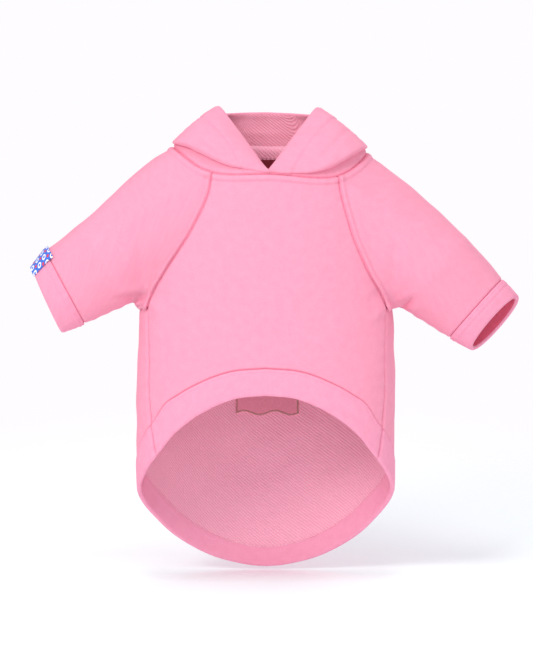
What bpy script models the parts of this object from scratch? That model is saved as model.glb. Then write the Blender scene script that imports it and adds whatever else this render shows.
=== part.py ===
"""Dog hoodie: a raglan sweatshirt for a small dog, with a laid-back hood, worn shape.

The garment is drawn as one closed skin, sampled on shared seam points, and each cut
panel is a wall hung from that skin. +X is the wearer's side shown on the right, +Y the
back, +Z up. The origin is the centre of the neck opening. Tables and sizes are in
millimetres and degrees; angles round the body start at the front centre and are
positive towards +X.
"""
import math

import bmesh
import bpy
import numpy as np

MM = 0.001

# Neck and body
NECK_WIDTH = 150.0
NECK_FRONT_DEPTH = 42.0
NECK_BACK_DEPTH = 43.0
NECK_SIDE_RISE = 12.5
CHEST_WIDTH = 201.0
CHEST_FRONT_DEPTH = 55.0
CHEST_BACK_DEPTH = 60.0
BODY_SHIFT = -3.5
BELLY_EDGE_DROP = 178.6
BACK_EDGE_DROP = 314.0
ARMPIT_DROP = 111.0
ROUNDNESS = 0.9

# Cloth
CLOTH = 2.2
HEM_CLOTH = 3.8
HEM_PROUD = 0.9
SEAM_GAP = 0.4
TRIM_GAP = 0.9

# Bands
BELLY_BAND = 21.0
BACK_BAND = 15.5
BAND_LEAN = 4.5

# Hood
HOOD_HEIGHT = 47.0
HOOD_RIM_HALF_WIDTH = 38.2
HOOD_RIM_SHIFT = -1.6
HOOD_REACH = 38.0
HOOD_DROP = 62.0
HOOD_LEAN = 0.0133
HOOD_STAND = 12.0
HOOD_ROLL = 5.0
ROLL_SOFTNESS = 5.0
CREASE_TUCK = 0.3
LAPEL_BOW_OUT = 0.5
LAPEL_BOW_UP = 0.45
LAPEL_STEPS = 5
BAG_START = 108.0
BAG_FULL = 158.0
BAG_HANG_START = 116.0
BAG_HANG_FULL = 170.0
BAG_SPREAD = 0.7
HOOD_HEM = 17.0
HOOD_HEM_CLOTH = 3.0
SLIM_HEIGHT = 22.0
THINNEST = 0.45

# Patch and labels
PATCH_WIDTH = 50.0
PATCH_HEIGHT = 60.0
PATCH_EDGE_DROP = 194.0
PATCH_SHIFT = -2.0
PATCH_WAVE = 1.6
PATCH_CLOTH = 1.0
NECK_LABEL_WIDTH = 34.0
NECK_LABEL_HEIGHT = 20.0
LABEL_CLOTH = 0.8
LABEL_GAP = 0.35
LABEL_OVERLAP = 0.4

# Sections of the body: drop as a share of BACK_EDGE_DROP, then how far the section has
# grown from the neck's size to the chest's size, as a share
BODY_SECTIONS = (
    (-0.05, 0.00),
    (0.00, 0.04),
    (0.05, 0.22),
    (0.13, 0.52),
    (0.22, 0.75),
    (0.34, 0.90),
    (0.48, 0.98),
    (0.70, 1.00),
    (1.00, 0.90),
)

# Neck seam: angle from the front centre, height on the -X side and on the +X side, as
# shares of NECK_SIDE_RISE
NECK_SEAM = (
    (0.0, -0.48, -0.48),
    (10.0, -0.51, -0.58),
    (20.0, -0.53, -0.69),
    (30.0, -0.45, -0.73),
    (38.0, -0.25, -0.67),
    (46.0, 0.00, -0.48),
    (54.0, 0.34, -0.22),
    (65.0, 0.75, 0.18),
    (77.0, 1.04, 0.54),
    (90.0, 1.16, 0.76),
    (120.0, 1.12, 0.85),
    (141.0, 0.87, 0.67),
    (160.0, 0.62, 0.52),
    (180.0, 0.48, 0.48),
)

# Lower edge: angle from the front centre, share of the way from the belly edge's drop
# to the back edge's drop
EDGE_CURVE = (
    (0.0, 0.000),
    (12.0, 0.020),
    (28.0, 0.106),
    (43.0, 0.220),
    (56.0, 0.343),
    (77.0, 0.485),
    (90.0, 0.546),
    (105.0, 0.620),
    (120.0, 0.710),
    (137.0, 0.827),
    (157.0, 0.939),
    (173.0, 0.991),
    (180.0, 1.000),
)

# Raglan seams: share of the way down to the armpit, front angle on the -X side, front
# angle on the +X side, back angle on both sides
RAGLAN_SEAMS = (
    (0.00, 33.0, 41.0, 141.0),
    (0.15, 32.5, 41.0, 138.0),
    (0.30, 35.0, 42.5, 134.0),
    (0.50, 41.5, 46.0, 126.0),
    (0.75, 55.0, 55.5, 111.0),
    (0.90, 64.5, 66.0, 93.0),
    (1.00, 69.0, 72.0, 70.5),
)

# Side seams: share of the way from the armpit to the band, angle
SIDE_SEAMS = ((0.0, 1.00), (0.4, 0.94), (0.7, 0.93), (1.0, 0.88))

# Hood rim: angle at the neck, x as a share of the rim's half width, y as a share of the
# way from the front of the neck to the back of the hood, z as a share of HOOD_HEIGHT
HOOD_RIM = (
    (0.0, 0.00, 0.000, -0.060),
    (15.0, 0.20, 0.065, 0.17),
    (30.0, 0.43, 0.155, 0.43),
    (50.0, 0.70, 0.260, 0.72),
    (68.0, 0.91, 0.345, 0.94),
    (80.0, 1.00, 0.410, 1.00),
    (95.0, 1.06, 0.520, 0.96),
    (115.0, 1.10, 0.690, 0.91),
    (140.0, 0.94, 0.860, 0.89),
    (160.0, 0.56, 0.965, 0.90),
    (180.0, 0.00, 1.000, 0.91),
)

# Fold round the foot of the hood: angle at the neck, height of the crease on the -X side
# and on the +X side as shares of HOOD_STAND, overhang of the roll as a share of HOOD_ROLL
HOOD_FOLD = (
    (0.0, 0.05, 0.05, 0.02),
    (10.0, 0.35, 0.15, 0.20),
    (21.0, 0.60, 0.30, 0.55),
    (32.0, 0.95, 0.60, 0.90),
    (42.0, 1.00, 0.85, 1.00),
    (53.0, 0.90, 0.92, 0.95),
    (66.0, 0.58, 0.75, 0.75),
    (80.0, 0.32, 0.50, 0.30),
    (95.0, 0.30, 0.40, 0.20),
    (120.0, 0.35, 0.35, 0.30),
    (180.0, 0.35, 0.35, 0.30),
)

# Back of the hood, from the neck seam round the hanging bag to the rim: how far out, as
# a share of HOOD_REACH, and how far down, as a share of HOOD_DROP
HOOD_BAG = (
    (0.04, -0.10),
    (0.26, -0.06),
    (0.36, 0.45),
    (0.60, 1.00),
    (0.98, 0.62),
    (1.04, 0.05),
)

# Sleeve rings on the -X side and the +X side: distance out from the neck centre, drop,
# tilt of the ring from upright, width, depth, and how far the opening turns forwards
LEFT_RINGS = {
    "armpit": (130.0, 77.0, 33.0, 73.0, 62.0, 0.0),
    "cuff_seam": (160.0, 94.8, 28.5, 64.5, 42.0, 0.0),
    "cuff_edge": (174.0, 104.8, 24.5, 55.0, 34.0, -1.0),
}
RIGHT_RINGS = {
    "armpit": (129.5, 84.0, 39.5, 74.0, 62.0, 0.0),
    "cuff_seam": (160.8, 111.3, 42.0, 61.5, 42.0, 1.0),
    "cuff_edge": (176.0, 123.0, 41.3, 54.0, 34.0, 5.0),
}
SLEEVE_LIFT = 4.0
SHOULDER_FOLLOW = 0.55

# Where on a sleeve's ring the raglan seams reach the neck: 0 is the underside, 90 the
# front and 180 the top
FRONT_TURN = 122.0
BACK_TURN = 240.0
BACK_SEAM_BOW = 0.92
RING_ROUNDNESS = 0.95

# How many faces each stretch of seam is cut into
FRONT_COLUMNS = 16
BACK_COLUMNS = 20
NECK_COLUMNS = 8
RAGLAN_ROWS = 10
SIDE_ROWS = 7
BAND_ROWS = 2
SHOULDER_ROWS = 7
ARM_ROWS = 3
HOOD_ROWS = 12
HOOD_SEAM_COLUMN = 4
NORMAL_PASSES = 4
LABEL_FIRST = 11
LABEL_LAST = 17
PATCH_COLUMNS = 8
PATCH_ROWS = 6


def read_table(table, at, column=1):
    """Read one column of a table with a smooth curve that passes through its rows."""
    keys = [row[0] for row in table]
    values = [row[column] for row in table]
    if at <= keys[0]:
        return values[0]
    if at >= keys[-1]:
        return values[-1]
    slopes = []
    for i in range(len(keys)):
        before = max(i - 1, 0)
        after = min(i + 1, len(keys) - 1)
        slopes.append((values[after] - values[before]) / (keys[after] - keys[before]))
    index = max(i for i in range(len(keys) - 1) if keys[i] <= at)
    span = keys[index + 1] - keys[index]
    t = (at - keys[index]) / span
    rise = t * t * (3.0 - 2.0 * t)
    start = values[index] * (1.0 - rise) + values[index + 1] * rise
    return start + span * t * (1.0 - t) * ((1.0 - t) * slopes[index] - t * slopes[index + 1])


def smooth_step(low, high, at):
    """Go from 0 to 1 between low and high."""
    t = min(max((at - low) / (high - low), 0.0), 1.0)
    return t * t * (3.0 - 2.0 * t)


def unit(vector):
    """Give the vector a length of 1."""
    return vector / max(np.linalg.norm(vector), 1e-9)


def signed_power(value, power):
    """Raise a size to a power and keep its sign."""
    return math.copysign(abs(value) ** power, value)


def body_point(angle, drop):
    """A point on the body at an angle and a drop below the origin."""
    grown = read_table(BODY_SECTIONS, drop / BACK_EDGE_DROP)
    half_width = (NECK_WIDTH + (CHEST_WIDTH - NECK_WIDTH) * grown) / 2.0
    front = NECK_FRONT_DEPTH + (CHEST_FRONT_DEPTH - NECK_FRONT_DEPTH) * grown
    back = NECK_BACK_DEPTH + (CHEST_BACK_DEPTH - NECK_BACK_DEPTH) * grown
    turn = math.radians(angle)
    across = signed_power(math.sin(turn), ROUNDNESS)
    along = signed_power(math.cos(turn), ROUNDNESS)
    depth = front if along > 0.0 else back
    return np.array([BODY_SHIFT * grown + half_width * across, -depth * along, -drop])


def body_normal(angle, drop):
    """The outward direction of the body's skin."""
    step = 0.5
    round_way = body_point(angle + step, drop) - body_point(angle - step, drop)
    down_way = body_point(angle, drop + step) - body_point(angle, drop - step)
    return unit(np.cross(down_way, round_way))


def neck_drop(angle):
    """Drop of the neck seam: low in front, high at the shoulders."""
    return -NECK_SIDE_RISE * read_table(NECK_SEAM, abs(angle), 1 if angle < 0.0 else 2)


def edge_drop(angle):
    """Drop of the lower edge of the hem band."""
    share = read_table(EDGE_CURVE, abs(angle))
    return BELLY_EDGE_DROP + (BACK_EDGE_DROP - BELLY_EDGE_DROP) * share


def hem_drop(angle):
    """Drop of the seam above the hem band, square to the slope of the edge."""
    step = 4.0
    run = np.linalg.norm((body_point(angle + step, BELLY_EDGE_DROP)
                          - body_point(angle - step, BELLY_EDGE_DROP)))
    slope = (edge_drop(angle + step) - edge_drop(angle - step)) / run
    band = BELLY_BAND + (BACK_BAND - BELLY_BAND) * smooth_step(60.0, 180.0, abs(angle))
    return edge_drop(angle) - band * math.sqrt(1.0 + slope * slope)


def side_column(side):
    """Angle of a side's front raglan seam at the armpit."""
    return RAGLAN_SEAMS[-1][1 if side < 0 else 2]


def front_seam(side, row):
    """Angle and drop on the front raglan seam and the side seam below it."""
    if row <= RAGLAN_ROWS:
        share = row / RAGLAN_ROWS
        angle = side * read_table(RAGLAN_SEAMS, share, 1 if side < 0 else 2)
        top = neck_drop(side * RAGLAN_SEAMS[0][1 if side < 0 else 2])
        return angle, top + (ARMPIT_DROP - top) * share
    share = (row - RAGLAN_ROWS) / SIDE_ROWS
    angle = side * side_column(side) * read_table(SIDE_SEAMS, share)
    bottom = hem_drop(side * side_column(side) * SIDE_SEAMS[-1][1])
    return angle, ARMPIT_DROP + (bottom - ARMPIT_DROP) * share


def back_seam(side, row):
    """Angle and drop on the back raglan seam; below the armpit it is the side seam."""
    if row >= RAGLAN_ROWS:
        return front_seam(side, row)
    share = row / RAGLAN_ROWS
    start = RAGLAN_SEAMS[0][3]
    travel = (start - read_table(RAGLAN_SEAMS, share, 3)) / (start - RAGLAN_SEAMS[-1][3])
    top = neck_drop(side * start)
    angle = start + (side_column(side) - start) * travel
    return side * angle, top + (ARMPIT_DROP - top) * share ** BACK_SEAM_BOW


def panel_places(seam, columns, behind):
    """Angles and drops of a body panel's points, from the neck to the hem band."""
    rows = RAGLAN_ROWS + SIDE_ROWS
    places = []
    for row in range(rows + 1):
        line = []
        for column in range(columns + 1):
            across = 2.0 * column / columns - 1.0
            side = -1 if (across < 0) != behind else 1
            edge_angle, edge_level = seam(side, row)
            angle = abs(across) * edge_angle
            if behind:
                angle = side * (180.0 - abs(across) * (180.0 - abs(edge_angle)))
            reach = edge_level - neck_drop(edge_angle)
            reach /= hem_drop(edge_angle) - neck_drop(edge_angle)
            share = row / rows + (reach - row / rows) * across * across
            top = neck_drop(angle)
            line.append((angle, top + (hem_drop(angle) - top) * share))
        places.append(line)
    return places


def band_places(panel, behind):
    """Continue a panel's last row down to the lower edge of the hem band.

    The side seams lean forwards in the band, and the columns beside them follow.
    """
    places = []
    for row in range(BAND_ROWS + 1):
        share = row / BAND_ROWS
        line = []
        for angle, drop in panel[-1]:
            border = side_column(angle) * SIDE_SEAMS[-1][1]
            reach = (180.0 - abs(angle)) / (180.0 - border) if behind else abs(angle) / border
            leant = angle - math.copysign(BAND_LEAN * share * reach ** 3, angle)
            line.append((leant, drop * (1.0 - share) + edge_drop(leant) * share))
        places.append(line)
    return places


def skin(places):
    """Turn angles and drops into points on the body."""
    return np.array([[body_point(angle, drop) for angle, drop in line] for line in places])


def neck_angles(side):
    """Angles of the neck seam over one sleeve, from its front raglan to its back one."""
    start = RAGLAN_SEAMS[0][1 if side < 0 else 2]
    stop = RAGLAN_SEAMS[0][3]
    return [side * (start + (stop - start) * i / NECK_COLUMNS) for i in range(NECK_COLUMNS + 1)]


def armhole(side):
    """The sleeve's seam: armpit, front raglan, neck, back raglan, and its ring angles."""
    places = [front_seam(side, RAGLAN_ROWS - i) for i in range(RAGLAN_ROWS + 1)]
    places += [(angle, neck_drop(angle)) for angle in neck_angles(side)[1:]]
    places += [back_seam(side, i) for i in range(1, RAGLAN_ROWS)]
    turns = [FRONT_TURN * i / RAGLAN_ROWS for i in range(RAGLAN_ROWS + 1)]
    turns += [FRONT_TURN + (BACK_TURN - FRONT_TURN) * i / NECK_COLUMNS
              for i in range(1, NECK_COLUMNS + 1)]
    turns += [BACK_TURN + (360.0 - BACK_TURN) * i / RAGLAN_ROWS for i in range(1, RAGLAN_ROWS)]
    return places, turns


def ring_point(side, ring, turn):
    """A point on a sleeve ring: 0 is the underside, 90 the front and 180 the top."""
    out, drop, tilt, width, depth, forward = ring
    lean = math.radians(tilt)
    up = np.array([side * math.sin(lean), 0.0, math.cos(lean)])
    away = np.array([side * math.cos(lean), 0.0, -math.sin(lean)])
    angle = math.radians(turn)
    centre = np.array([side * out, 0.0, -drop])
    flat = signed_power(math.sin(angle), ROUNDNESS)
    tall = signed_power(math.cos(angle), RING_ROUNDNESS)
    backwards = np.array([0.0, 1.0, 0.0]) * depth / 2.0 + away * forward
    return centre - up * tall * width / 2.0 - backwards * flat


def sleeve_axis(side, rings):
    """Direction from the armpit ring to the cuff seam."""
    start = np.array([side * rings["armpit"][0], 0.0, -rings["armpit"][1]])
    stop = np.array([side * rings["cuff_seam"][0], 0.0, -rings["cuff_seam"][1]])
    return unit(stop - start)


def sleeve_grid(side, rings):
    """Sample a sleeve from its armhole over the shoulder to the seam of its cuff."""
    places, turns = armhole(side)
    axis = sleeve_axis(side, rings)
    rows = SHOULDER_ROWS + ARM_ROWS
    grid = np.zeros((rows + 1, len(places), 3))
    for column, (place, turn) in enumerate(zip(places, turns)):
        start = body_point(*place)
        normal = body_normal(*place)
        arm = ring_point(side, rings["armpit"], turn)
        cuff = ring_point(side, rings["cuff_seam"], turn)
        length = np.linalg.norm(arm - start)
        over = max(0.0, -math.cos(math.radians(turn)))
        follow = SHOULDER_FOLLOW * (1.0 - over)
        leave = unit(axis - normal * np.dot(axis, normal) * follow)
        lift = np.array([0.0, 0.0, SLEEVE_LIFT]) * over
        hold_a = start + leave * length / 3.0 + lift
        hold_b = arm - axis * length / 3.0 + lift
        for row in range(SHOULDER_ROWS + 1):
            t = row / SHOULDER_ROWS
            s = 1.0 - t
            grid[row, column] = (s ** 3 * start + 3.0 * s * s * t * hold_a
                                 + 3.0 * s * t * t * hold_b + t ** 3 * arm)
        for row in range(1, ARM_ROWS + 1):
            t = row / ARM_ROWS
            grid[SHOULDER_ROWS + row, column] = arm * (1.0 - t) + cuff * t
    return grid if side > 0 else grid[:, ::-1]


def cuff_grid(side, rings):
    """Sample a cuff from its seam to its edge."""
    turns = armhole(side)[1]
    grid = np.zeros((BAND_ROWS + 1, len(turns), 3))
    for column, turn in enumerate(turns):
        seam = ring_point(side, rings["cuff_seam"], turn)
        edge = ring_point(side, rings["cuff_edge"], turn)
        for row in range(BAND_ROWS + 1):
            grid[row, column] = seam + (edge - seam) * row / BAND_ROWS
    return grid if side > 0 else grid[:, ::-1]


def rim_point(angle):
    """A point on the rim of the hood."""
    side = -1.0 if angle < 0.0 else 1.0
    at = abs(angle)
    across = side * HOOD_RIM_HALF_WIDTH * read_table(HOOD_RIM, at, 1)
    back = NECK_BACK_DEPTH + HOOD_REACH
    along = -NECK_FRONT_DEPTH + (back + NECK_FRONT_DEPTH) * read_table(HOOD_RIM, at, 2)
    up = HOOD_HEIGHT * read_table(HOOD_RIM, at, 3) - HOOD_LEAN * across
    return np.array([HOOD_RIM_SHIFT + across, along, up])


def curve_through(points, count):
    """Read points at even steps of a smooth curve through the given ones."""
    last = len(points) - 1
    curve = []
    for step in range(count + 1):
        place = step * last / count
        index = min(int(place), last - 1)
        t = place - index
        a, b, c, d = (points[max(index - 1, 0)], points[index],
                      points[index + 1], points[min(index + 2, last)])
        curve.append(0.5 * (2.0 * b + (c - a) * t + (2.0 * a - 5.0 * b + 4.0 * c - d) * t * t
                            + (3.0 * b - a - 3.0 * c + d) * t ** 3))
    return np.array(curve)


def hood_column(angle):
    """One section of the hood, from the neck seam to the rim."""
    seam = body_point(angle, neck_drop(angle))
    rim = rim_point(angle)
    at = abs(angle)
    rise = np.array([0.0, 0.0, 1.0])
    out = unit(np.array([seam[0] / NECK_WIDTH, seam[1] / (2.0 * NECK_BACK_DEPTH), 0.0]))
    backwards = unit(np.array([seam[0] / NECK_WIDTH * BAG_SPREAD, 1.0, 0.0]))
    height = read_table(HOOD_FOLD, at, 1 if angle < 0.0 else 2)
    stand = HOOD_STAND * height
    roll = HOOD_ROLL * read_table(HOOD_FOLD, at, 3)
    crease = seam + rise * stand - out * CREASE_TUCK * stand
    bulge = crease + out * roll + rise * (roll + ROLL_SOFTNESS * height)
    lapel = [crease, bulge]
    for i in range(1, LAPEL_STEPS):
        share = i / LAPEL_STEPS
        bow = (out * LAPEL_BOW_OUT + rise * LAPEL_BOW_UP) * roll * math.sin(math.pi * share)
        lapel.append(bulge + (rim - bulge) * share + bow)
    hang = smooth_step(BAG_HANG_START, BAG_HANG_FULL, at)
    bag = [seam + backwards * HOOD_REACH * far
           - rise * HOOD_DROP * (down * hang if down > 0.0 else down)
           for far, down in HOOD_BAG]
    turn_over = smooth_step(BAG_START, BAG_FULL, at)
    middle = [a * (1.0 - turn_over) + b * turn_over for a, b in zip(lapel, bag)]
    return curve_through([seam] + middle + [rim], HOOD_ROWS)


def neck_loop():
    """Angles round the neck seam, from the front centre round the -X side and back."""
    left_front, right_front = RAGLAN_SEAMS[0][1], RAGLAN_SEAMS[0][2]
    front_half, back_half = FRONT_COLUMNS // 2, BACK_COLUMNS // 2
    back_gap = 180.0 - RAGLAN_SEAMS[0][3]
    loop = [-left_front * i / front_half for i in range(front_half + 1)]
    loop += neck_angles(-1)[1:]
    loop += [-180.0 + back_gap * (1.0 - i / back_half) for i in range(1, back_half + 1)]
    loop += [180.0 - back_gap * i / back_half for i in range(1, back_half + 1)]
    loop += neck_angles(1)[::-1][1:]
    loop += [right_front * (1.0 - i / front_half) for i in range(1, front_half + 1)]
    return loop


def hood_grid():
    """Sample the whole hood; its two ends meet at the front of the neck."""
    return np.stack([hood_column(angle) for angle in neck_loop()], axis=1)


def quads_of(grid, closed):
    """Go through the faces of a grid, each as its four corners in outward order."""
    rows, columns = grid.shape[:2]
    for row in range(rows - 1):
        for column in range(columns if closed else columns - 1):
            after = (column + 1) % columns
            yield ((row, column), (row + 1, column), (row + 1, after), (row, after))


def outward_normals(grids):
    """Average the face normals of all grids at each shared point, and even them out."""
    keys = {name: np.round(grid, 4) for name, (grid, closed) in grids.items()}
    faces = []
    gathered = {}
    for name, (grid, closed) in grids.items():
        for quad in quads_of(grid, closed):
            corners = [grid[place] for place in quad]
            names = [tuple(keys[name][place]) for place in quad]
            normal = unit(np.cross(corners[2] - corners[0], corners[3] - corners[1]))
            faces.append(names)
            for key in names:
                gathered[key] = gathered.get(key, np.zeros(3)) + normal
    for _ in range(NORMAL_PASSES):
        evened = {}
        for names in faces:
            total = unit(sum(unit(gathered[key]) for key in names))
            for key in names:
                evened[key] = evened.get(key, np.zeros(3)) + total
        gathered = evened
    return {name: np.array([[unit(gathered[tuple(key)]) for key in line] for line in keys[name]])
            for name in grids}


def draw_in(grid, closed, gap):
    """Pull the borders of a grid in, so that a gap is left at each seam."""
    drawn = grid.copy()
    drawn[0] += np.array([unit(v) for v in grid[1] - grid[0]]) * gap
    drawn[-1] += np.array([unit(v) for v in grid[-2] - grid[-1]]) * gap
    if not closed:
        drawn[:, 0] += np.array([unit(v) for v in grid[:, 1] - grid[:, 0]]) * gap
        drawn[:, -1] += np.array([unit(v) for v in grid[:, -2] - grid[:, -1]]) * gap
    return drawn


def add_wall(name, outer, inner, closed, finish):
    """Make a named object between an outer and an inner grid of points."""
    rows, columns = outer.shape[:2]
    mesh = bmesh.new()
    skins = []
    for grid in (outer, inner):
        skins.append([[mesh.verts.new(grid[row, column] * MM) for column in range(columns)]
                      for row in range(rows)])
    across = columns if closed else columns - 1

    def add_quad(a, b, c, d):
        mesh.faces.new((a, b, c, d))

    top, under = skins
    for row in range(rows - 1):
        for column in range(across):
            after = (column + 1) % columns
            add_quad(top[row][column], top[row + 1][column],
                     top[row + 1][after], top[row][after])
            add_quad(under[row][after], under[row + 1][after],
                     under[row + 1][column], under[row][column])
    for column in range(across):
        after = (column + 1) % columns
        add_quad(top[0][after], under[0][after], under[0][column], top[0][column])
        add_quad(top[-1][column], under[-1][column], under[-1][after], top[-1][after])
    if not closed:
        for row in range(rows - 1):
            add_quad(top[row][0], under[row][0], under[row + 1][0], top[row + 1][0])
            add_quad(top[row + 1][-1], under[row + 1][-1], under[row][-1], top[row][-1])
    bmesh.ops.triangulate(mesh, faces=mesh.faces[:])
    data = bpy.data.meshes.new(name)
    mesh.to_mesh(data)
    mesh.free()
    data.shade_smooth()
    data.set_sharp_from_angle(angle=math.radians(50.0))
    data.materials.append(finish)
    thing = bpy.data.objects.new(name, data)
    bpy.context.scene.collection.objects.link(thing)
    return thing


def make_finish(name, colour, roughness):
    """A plain cloth finish: linear colour and roughness, no metal."""
    finish = bpy.data.materials.new(name)
    finish.use_nodes = True
    shader = finish.node_tree.nodes["Principled BSDF"]
    shader.inputs["Base Color"].default_value = (*colour, 1.0)
    shader.inputs["Roughness"].default_value = roughness
    shader.inputs["Metallic"].default_value = 0.0
    return finish


def hem_thickness(grid, plain, doubled, width, fade=3.0):
    """Wall thickness of each point of the hood: doubled within a width of the rim."""
    steps = np.linalg.norm(np.diff(grid, axis=0), axis=2)
    from_rim = np.concatenate([np.cumsum(steps[::-1], axis=0)[::-1],
                               np.zeros((1, grid.shape[1]))])
    blend = np.clip((width - from_rim) / fade + 1.0, 0.0, 1.0)
    slim = np.clip(from_rim[0] / SLIM_HEIGHT, THINNEST, 1.0)
    return (plain + (doubled - plain) * blend) * slim


def make_panels():
    """Sample every cut panel, cuff, band and the hood; say which ones close on themselves."""
    front = panel_places(front_seam, FRONT_COLUMNS, False)
    back = panel_places(back_seam, BACK_COLUMNS, True)
    return {
        "front_panel": (skin(front), False),
        "back_panel": (skin(back), False),
        "hem_front": (skin(band_places(front, False)), False),
        "hem_back": (skin(band_places(back, True)), False),
        "sleeve_left": (sleeve_grid(-1, LEFT_RINGS), True),
        "sleeve_right": (sleeve_grid(1, RIGHT_RINGS), True),
        "cuff_left": (cuff_grid(-1, LEFT_RINGS), True),
        "cuff_right": (cuff_grid(1, RIGHT_RINGS), True),
        "hood": (hood_grid(), False),
    }


def hang_wall(name, grid, normals, closed, proud, thickness, finish):
    """Make a panel whose outside stands proud of the skin and whose inside lies within."""
    drawn = draw_in(grid, closed, SEAM_GAP / 2.0)
    depth = np.asarray(thickness)
    if depth.ndim == 2:
        depth = depth[:, :, None]
    return add_wall(name, drawn + normals * proud, drawn + normals * (proud - depth),
                    closed, finish)


def add_patch(finish):
    """A patch with a waved lower edge, sewn to the inside of the back panel."""
    places = []
    for row in range(PATCH_ROWS + 1):
        line = []
        for column in range(PATCH_COLUMNS + 1):
            across = column / PATCH_COLUMNS - 0.5
            wave = PATCH_WAVE * math.sin(4.0 * math.pi * across) * row / PATCH_ROWS
            drop = PATCH_EDGE_DROP - PATCH_HEIGHT * (1.0 - row / PATCH_ROWS) + wave
            line.append((back_angle(PATCH_SHIFT - across * PATCH_WIDTH, drop), drop))
        places.append(line)
    add_trim("inner_patch", places, PATCH_CLOTH, finish)


def add_neck_label(finish):
    """A plain woven label that hangs inside the back of the neck."""
    places = []
    for row in range(PATCH_ROWS + 1):
        line = []
        for column in range(PATCH_COLUMNS + 1):
            across = column / PATCH_COLUMNS - 0.5
            drop = neck_drop(180.0) + TRIM_GAP + NECK_LABEL_HEIGHT * row / PATCH_ROWS
            line.append((back_angle(-across * NECK_LABEL_WIDTH, drop), drop))
        places.append(line)
    add_trim("neck_label", places, LABEL_CLOTH, finish)


def back_angle(across, drop):
    """The angle at which the back of the body lies at a place across it."""
    grown = read_table(BODY_SECTIONS, drop / BACK_EDGE_DROP)
    half_width = (NECK_WIDTH + (CHEST_WIDTH - NECK_WIDTH) * grown) / 2.0
    share = (across - BODY_SHIFT * grown) / half_width
    angle = math.degrees(math.asin(signed_power(share, 1.0 / ROUNDNESS)))
    return 180.0 - angle


def add_trim(name, places, thickness, finish):
    """Lay a thin piece just inside the back panel."""
    normals = np.array([[body_normal(angle, drop) for angle, drop in line] for line in places])
    near = skin(places) - normals * (CLOTH + TRIM_GAP)
    add_wall(name, near, near - normals * thickness, False, finish)


def add_cuff_label(panels, normals, finish):
    """A label folded over the top of the -X cuff, from just above its seam to its edge."""
    sleeve, cuff = panels["sleeve_left"][0], panels["cuff_left"][0]
    columns = slice(cuff.shape[1] - 1 - LABEL_LAST, cuff.shape[1] - LABEL_FIRST)
    above = sleeve[-1] + (sleeve[-2] - sleeve[-1]) * LABEL_OVERLAP
    grid = np.concatenate([above[None], cuff])[:, columns]
    ways = normals["cuff_left"]
    ways = np.concatenate([ways[:1], ways])[:, columns]
    under = grid + ways * (HEM_PROUD + LABEL_GAP)
    add_wall("cuff_label", under + ways * LABEL_CLOTH, under, False, finish)


def main():
    """Build the hoodie."""
    for thing in list(bpy.data.objects):
        bpy.data.objects.remove(thing, do_unlink=True)
    pink = make_finish("pink_terry_knit", (0.95, 0.40, 0.56), 0.9)
    deep = make_finish("pink_band_knit", (0.93, 0.37, 0.53), 0.9)
    mauve = make_finish("mauve_patch_cloth", (0.53, 0.13, 0.18), 0.85)
    blue = make_finish("blue_woven_label", (0.03, 0.15, 0.70), 0.7)
    red = make_finish("red_woven_label", (0.28, 0.02, 0.04), 0.8)
    panels = make_panels()
    normals = outward_normals(panels)
    for name, (grid, closed) in panels.items():
        if name == "hood":
            continue
        banded = name.startswith(("hem", "cuff"))
        hang_wall(name, grid, normals[name], closed, HEM_PROUD if banded else 0.0,
                  HEM_CLOTH if banded else CLOTH, deep if banded else pink)
    hood = panels["hood"][0]
    thickness = hem_thickness(hood, CLOTH, HOOD_HEM_CLOTH, HOOD_HEM)
    first = FRONT_COLUMNS // 2 + HOOD_SEAM_COLUMN
    last = hood.shape[1] - 1 - first
    for name, start, stop in (("hood_left", 0, first), ("hood_centre", first, last),
                              ("hood_right", last, hood.shape[1] - 1)):
        part = slice(start, stop + 1)
        hang_wall(name, hood[:, part], normals["hood"][:, part], False, 0.0,
                  thickness[:, part], pink)
    add_patch(mauve)
    add_neck_label(red)
    add_cuff_label(panels, normals, blue)


if __name__ == "__main__":
    main()
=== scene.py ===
"""Looks of the dog hoodie: finely sampled cloth panels, seams, stitches, labels and studio."""
from __future__ import annotations

import logging
import math
from dataclasses import dataclass, field
from enum import Enum

import bpy
import numpy as np
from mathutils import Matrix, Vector


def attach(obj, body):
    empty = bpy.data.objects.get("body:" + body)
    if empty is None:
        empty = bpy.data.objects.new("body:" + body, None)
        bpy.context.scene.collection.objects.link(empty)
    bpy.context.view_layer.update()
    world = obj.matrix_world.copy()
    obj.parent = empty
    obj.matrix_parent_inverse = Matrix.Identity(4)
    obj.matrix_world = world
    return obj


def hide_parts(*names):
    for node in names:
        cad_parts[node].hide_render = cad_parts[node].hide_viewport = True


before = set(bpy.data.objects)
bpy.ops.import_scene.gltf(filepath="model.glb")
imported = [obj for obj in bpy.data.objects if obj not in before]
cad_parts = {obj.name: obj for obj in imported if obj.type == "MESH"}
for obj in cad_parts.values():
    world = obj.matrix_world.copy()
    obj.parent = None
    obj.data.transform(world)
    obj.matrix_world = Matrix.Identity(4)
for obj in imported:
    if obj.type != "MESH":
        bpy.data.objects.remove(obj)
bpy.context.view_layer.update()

LOG = logging.getLogger("hoodie")
MM = 0.001
UP = np.array([0.0, 0.0, 1.0])
BODY_NAME = "root"
TURN = 2.0 * math.pi
SIDES = ("left", "right")


class Side(Enum):
    """Which side of the garment a piece is on, as the sign of its x."""

    LEFT = -1
    RIGHT = 1


class Lay(Enum):
    """Which way a grid's last row ends."""

    SEAM = "seam"
    FOLDED_EDGE = "folded edge"


def unit(vectors: np.ndarray) -> np.ndarray:
    """Give vectors a length of 1."""
    return vectors / np.maximum(np.linalg.norm(vectors, axis=-1, keepdims=True), 1e-9)


def signed_power(value: np.ndarray, power: float) -> np.ndarray:
    """Raise sizes to a power and keep their signs."""
    return np.sign(value) * np.abs(value) ** power


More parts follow.
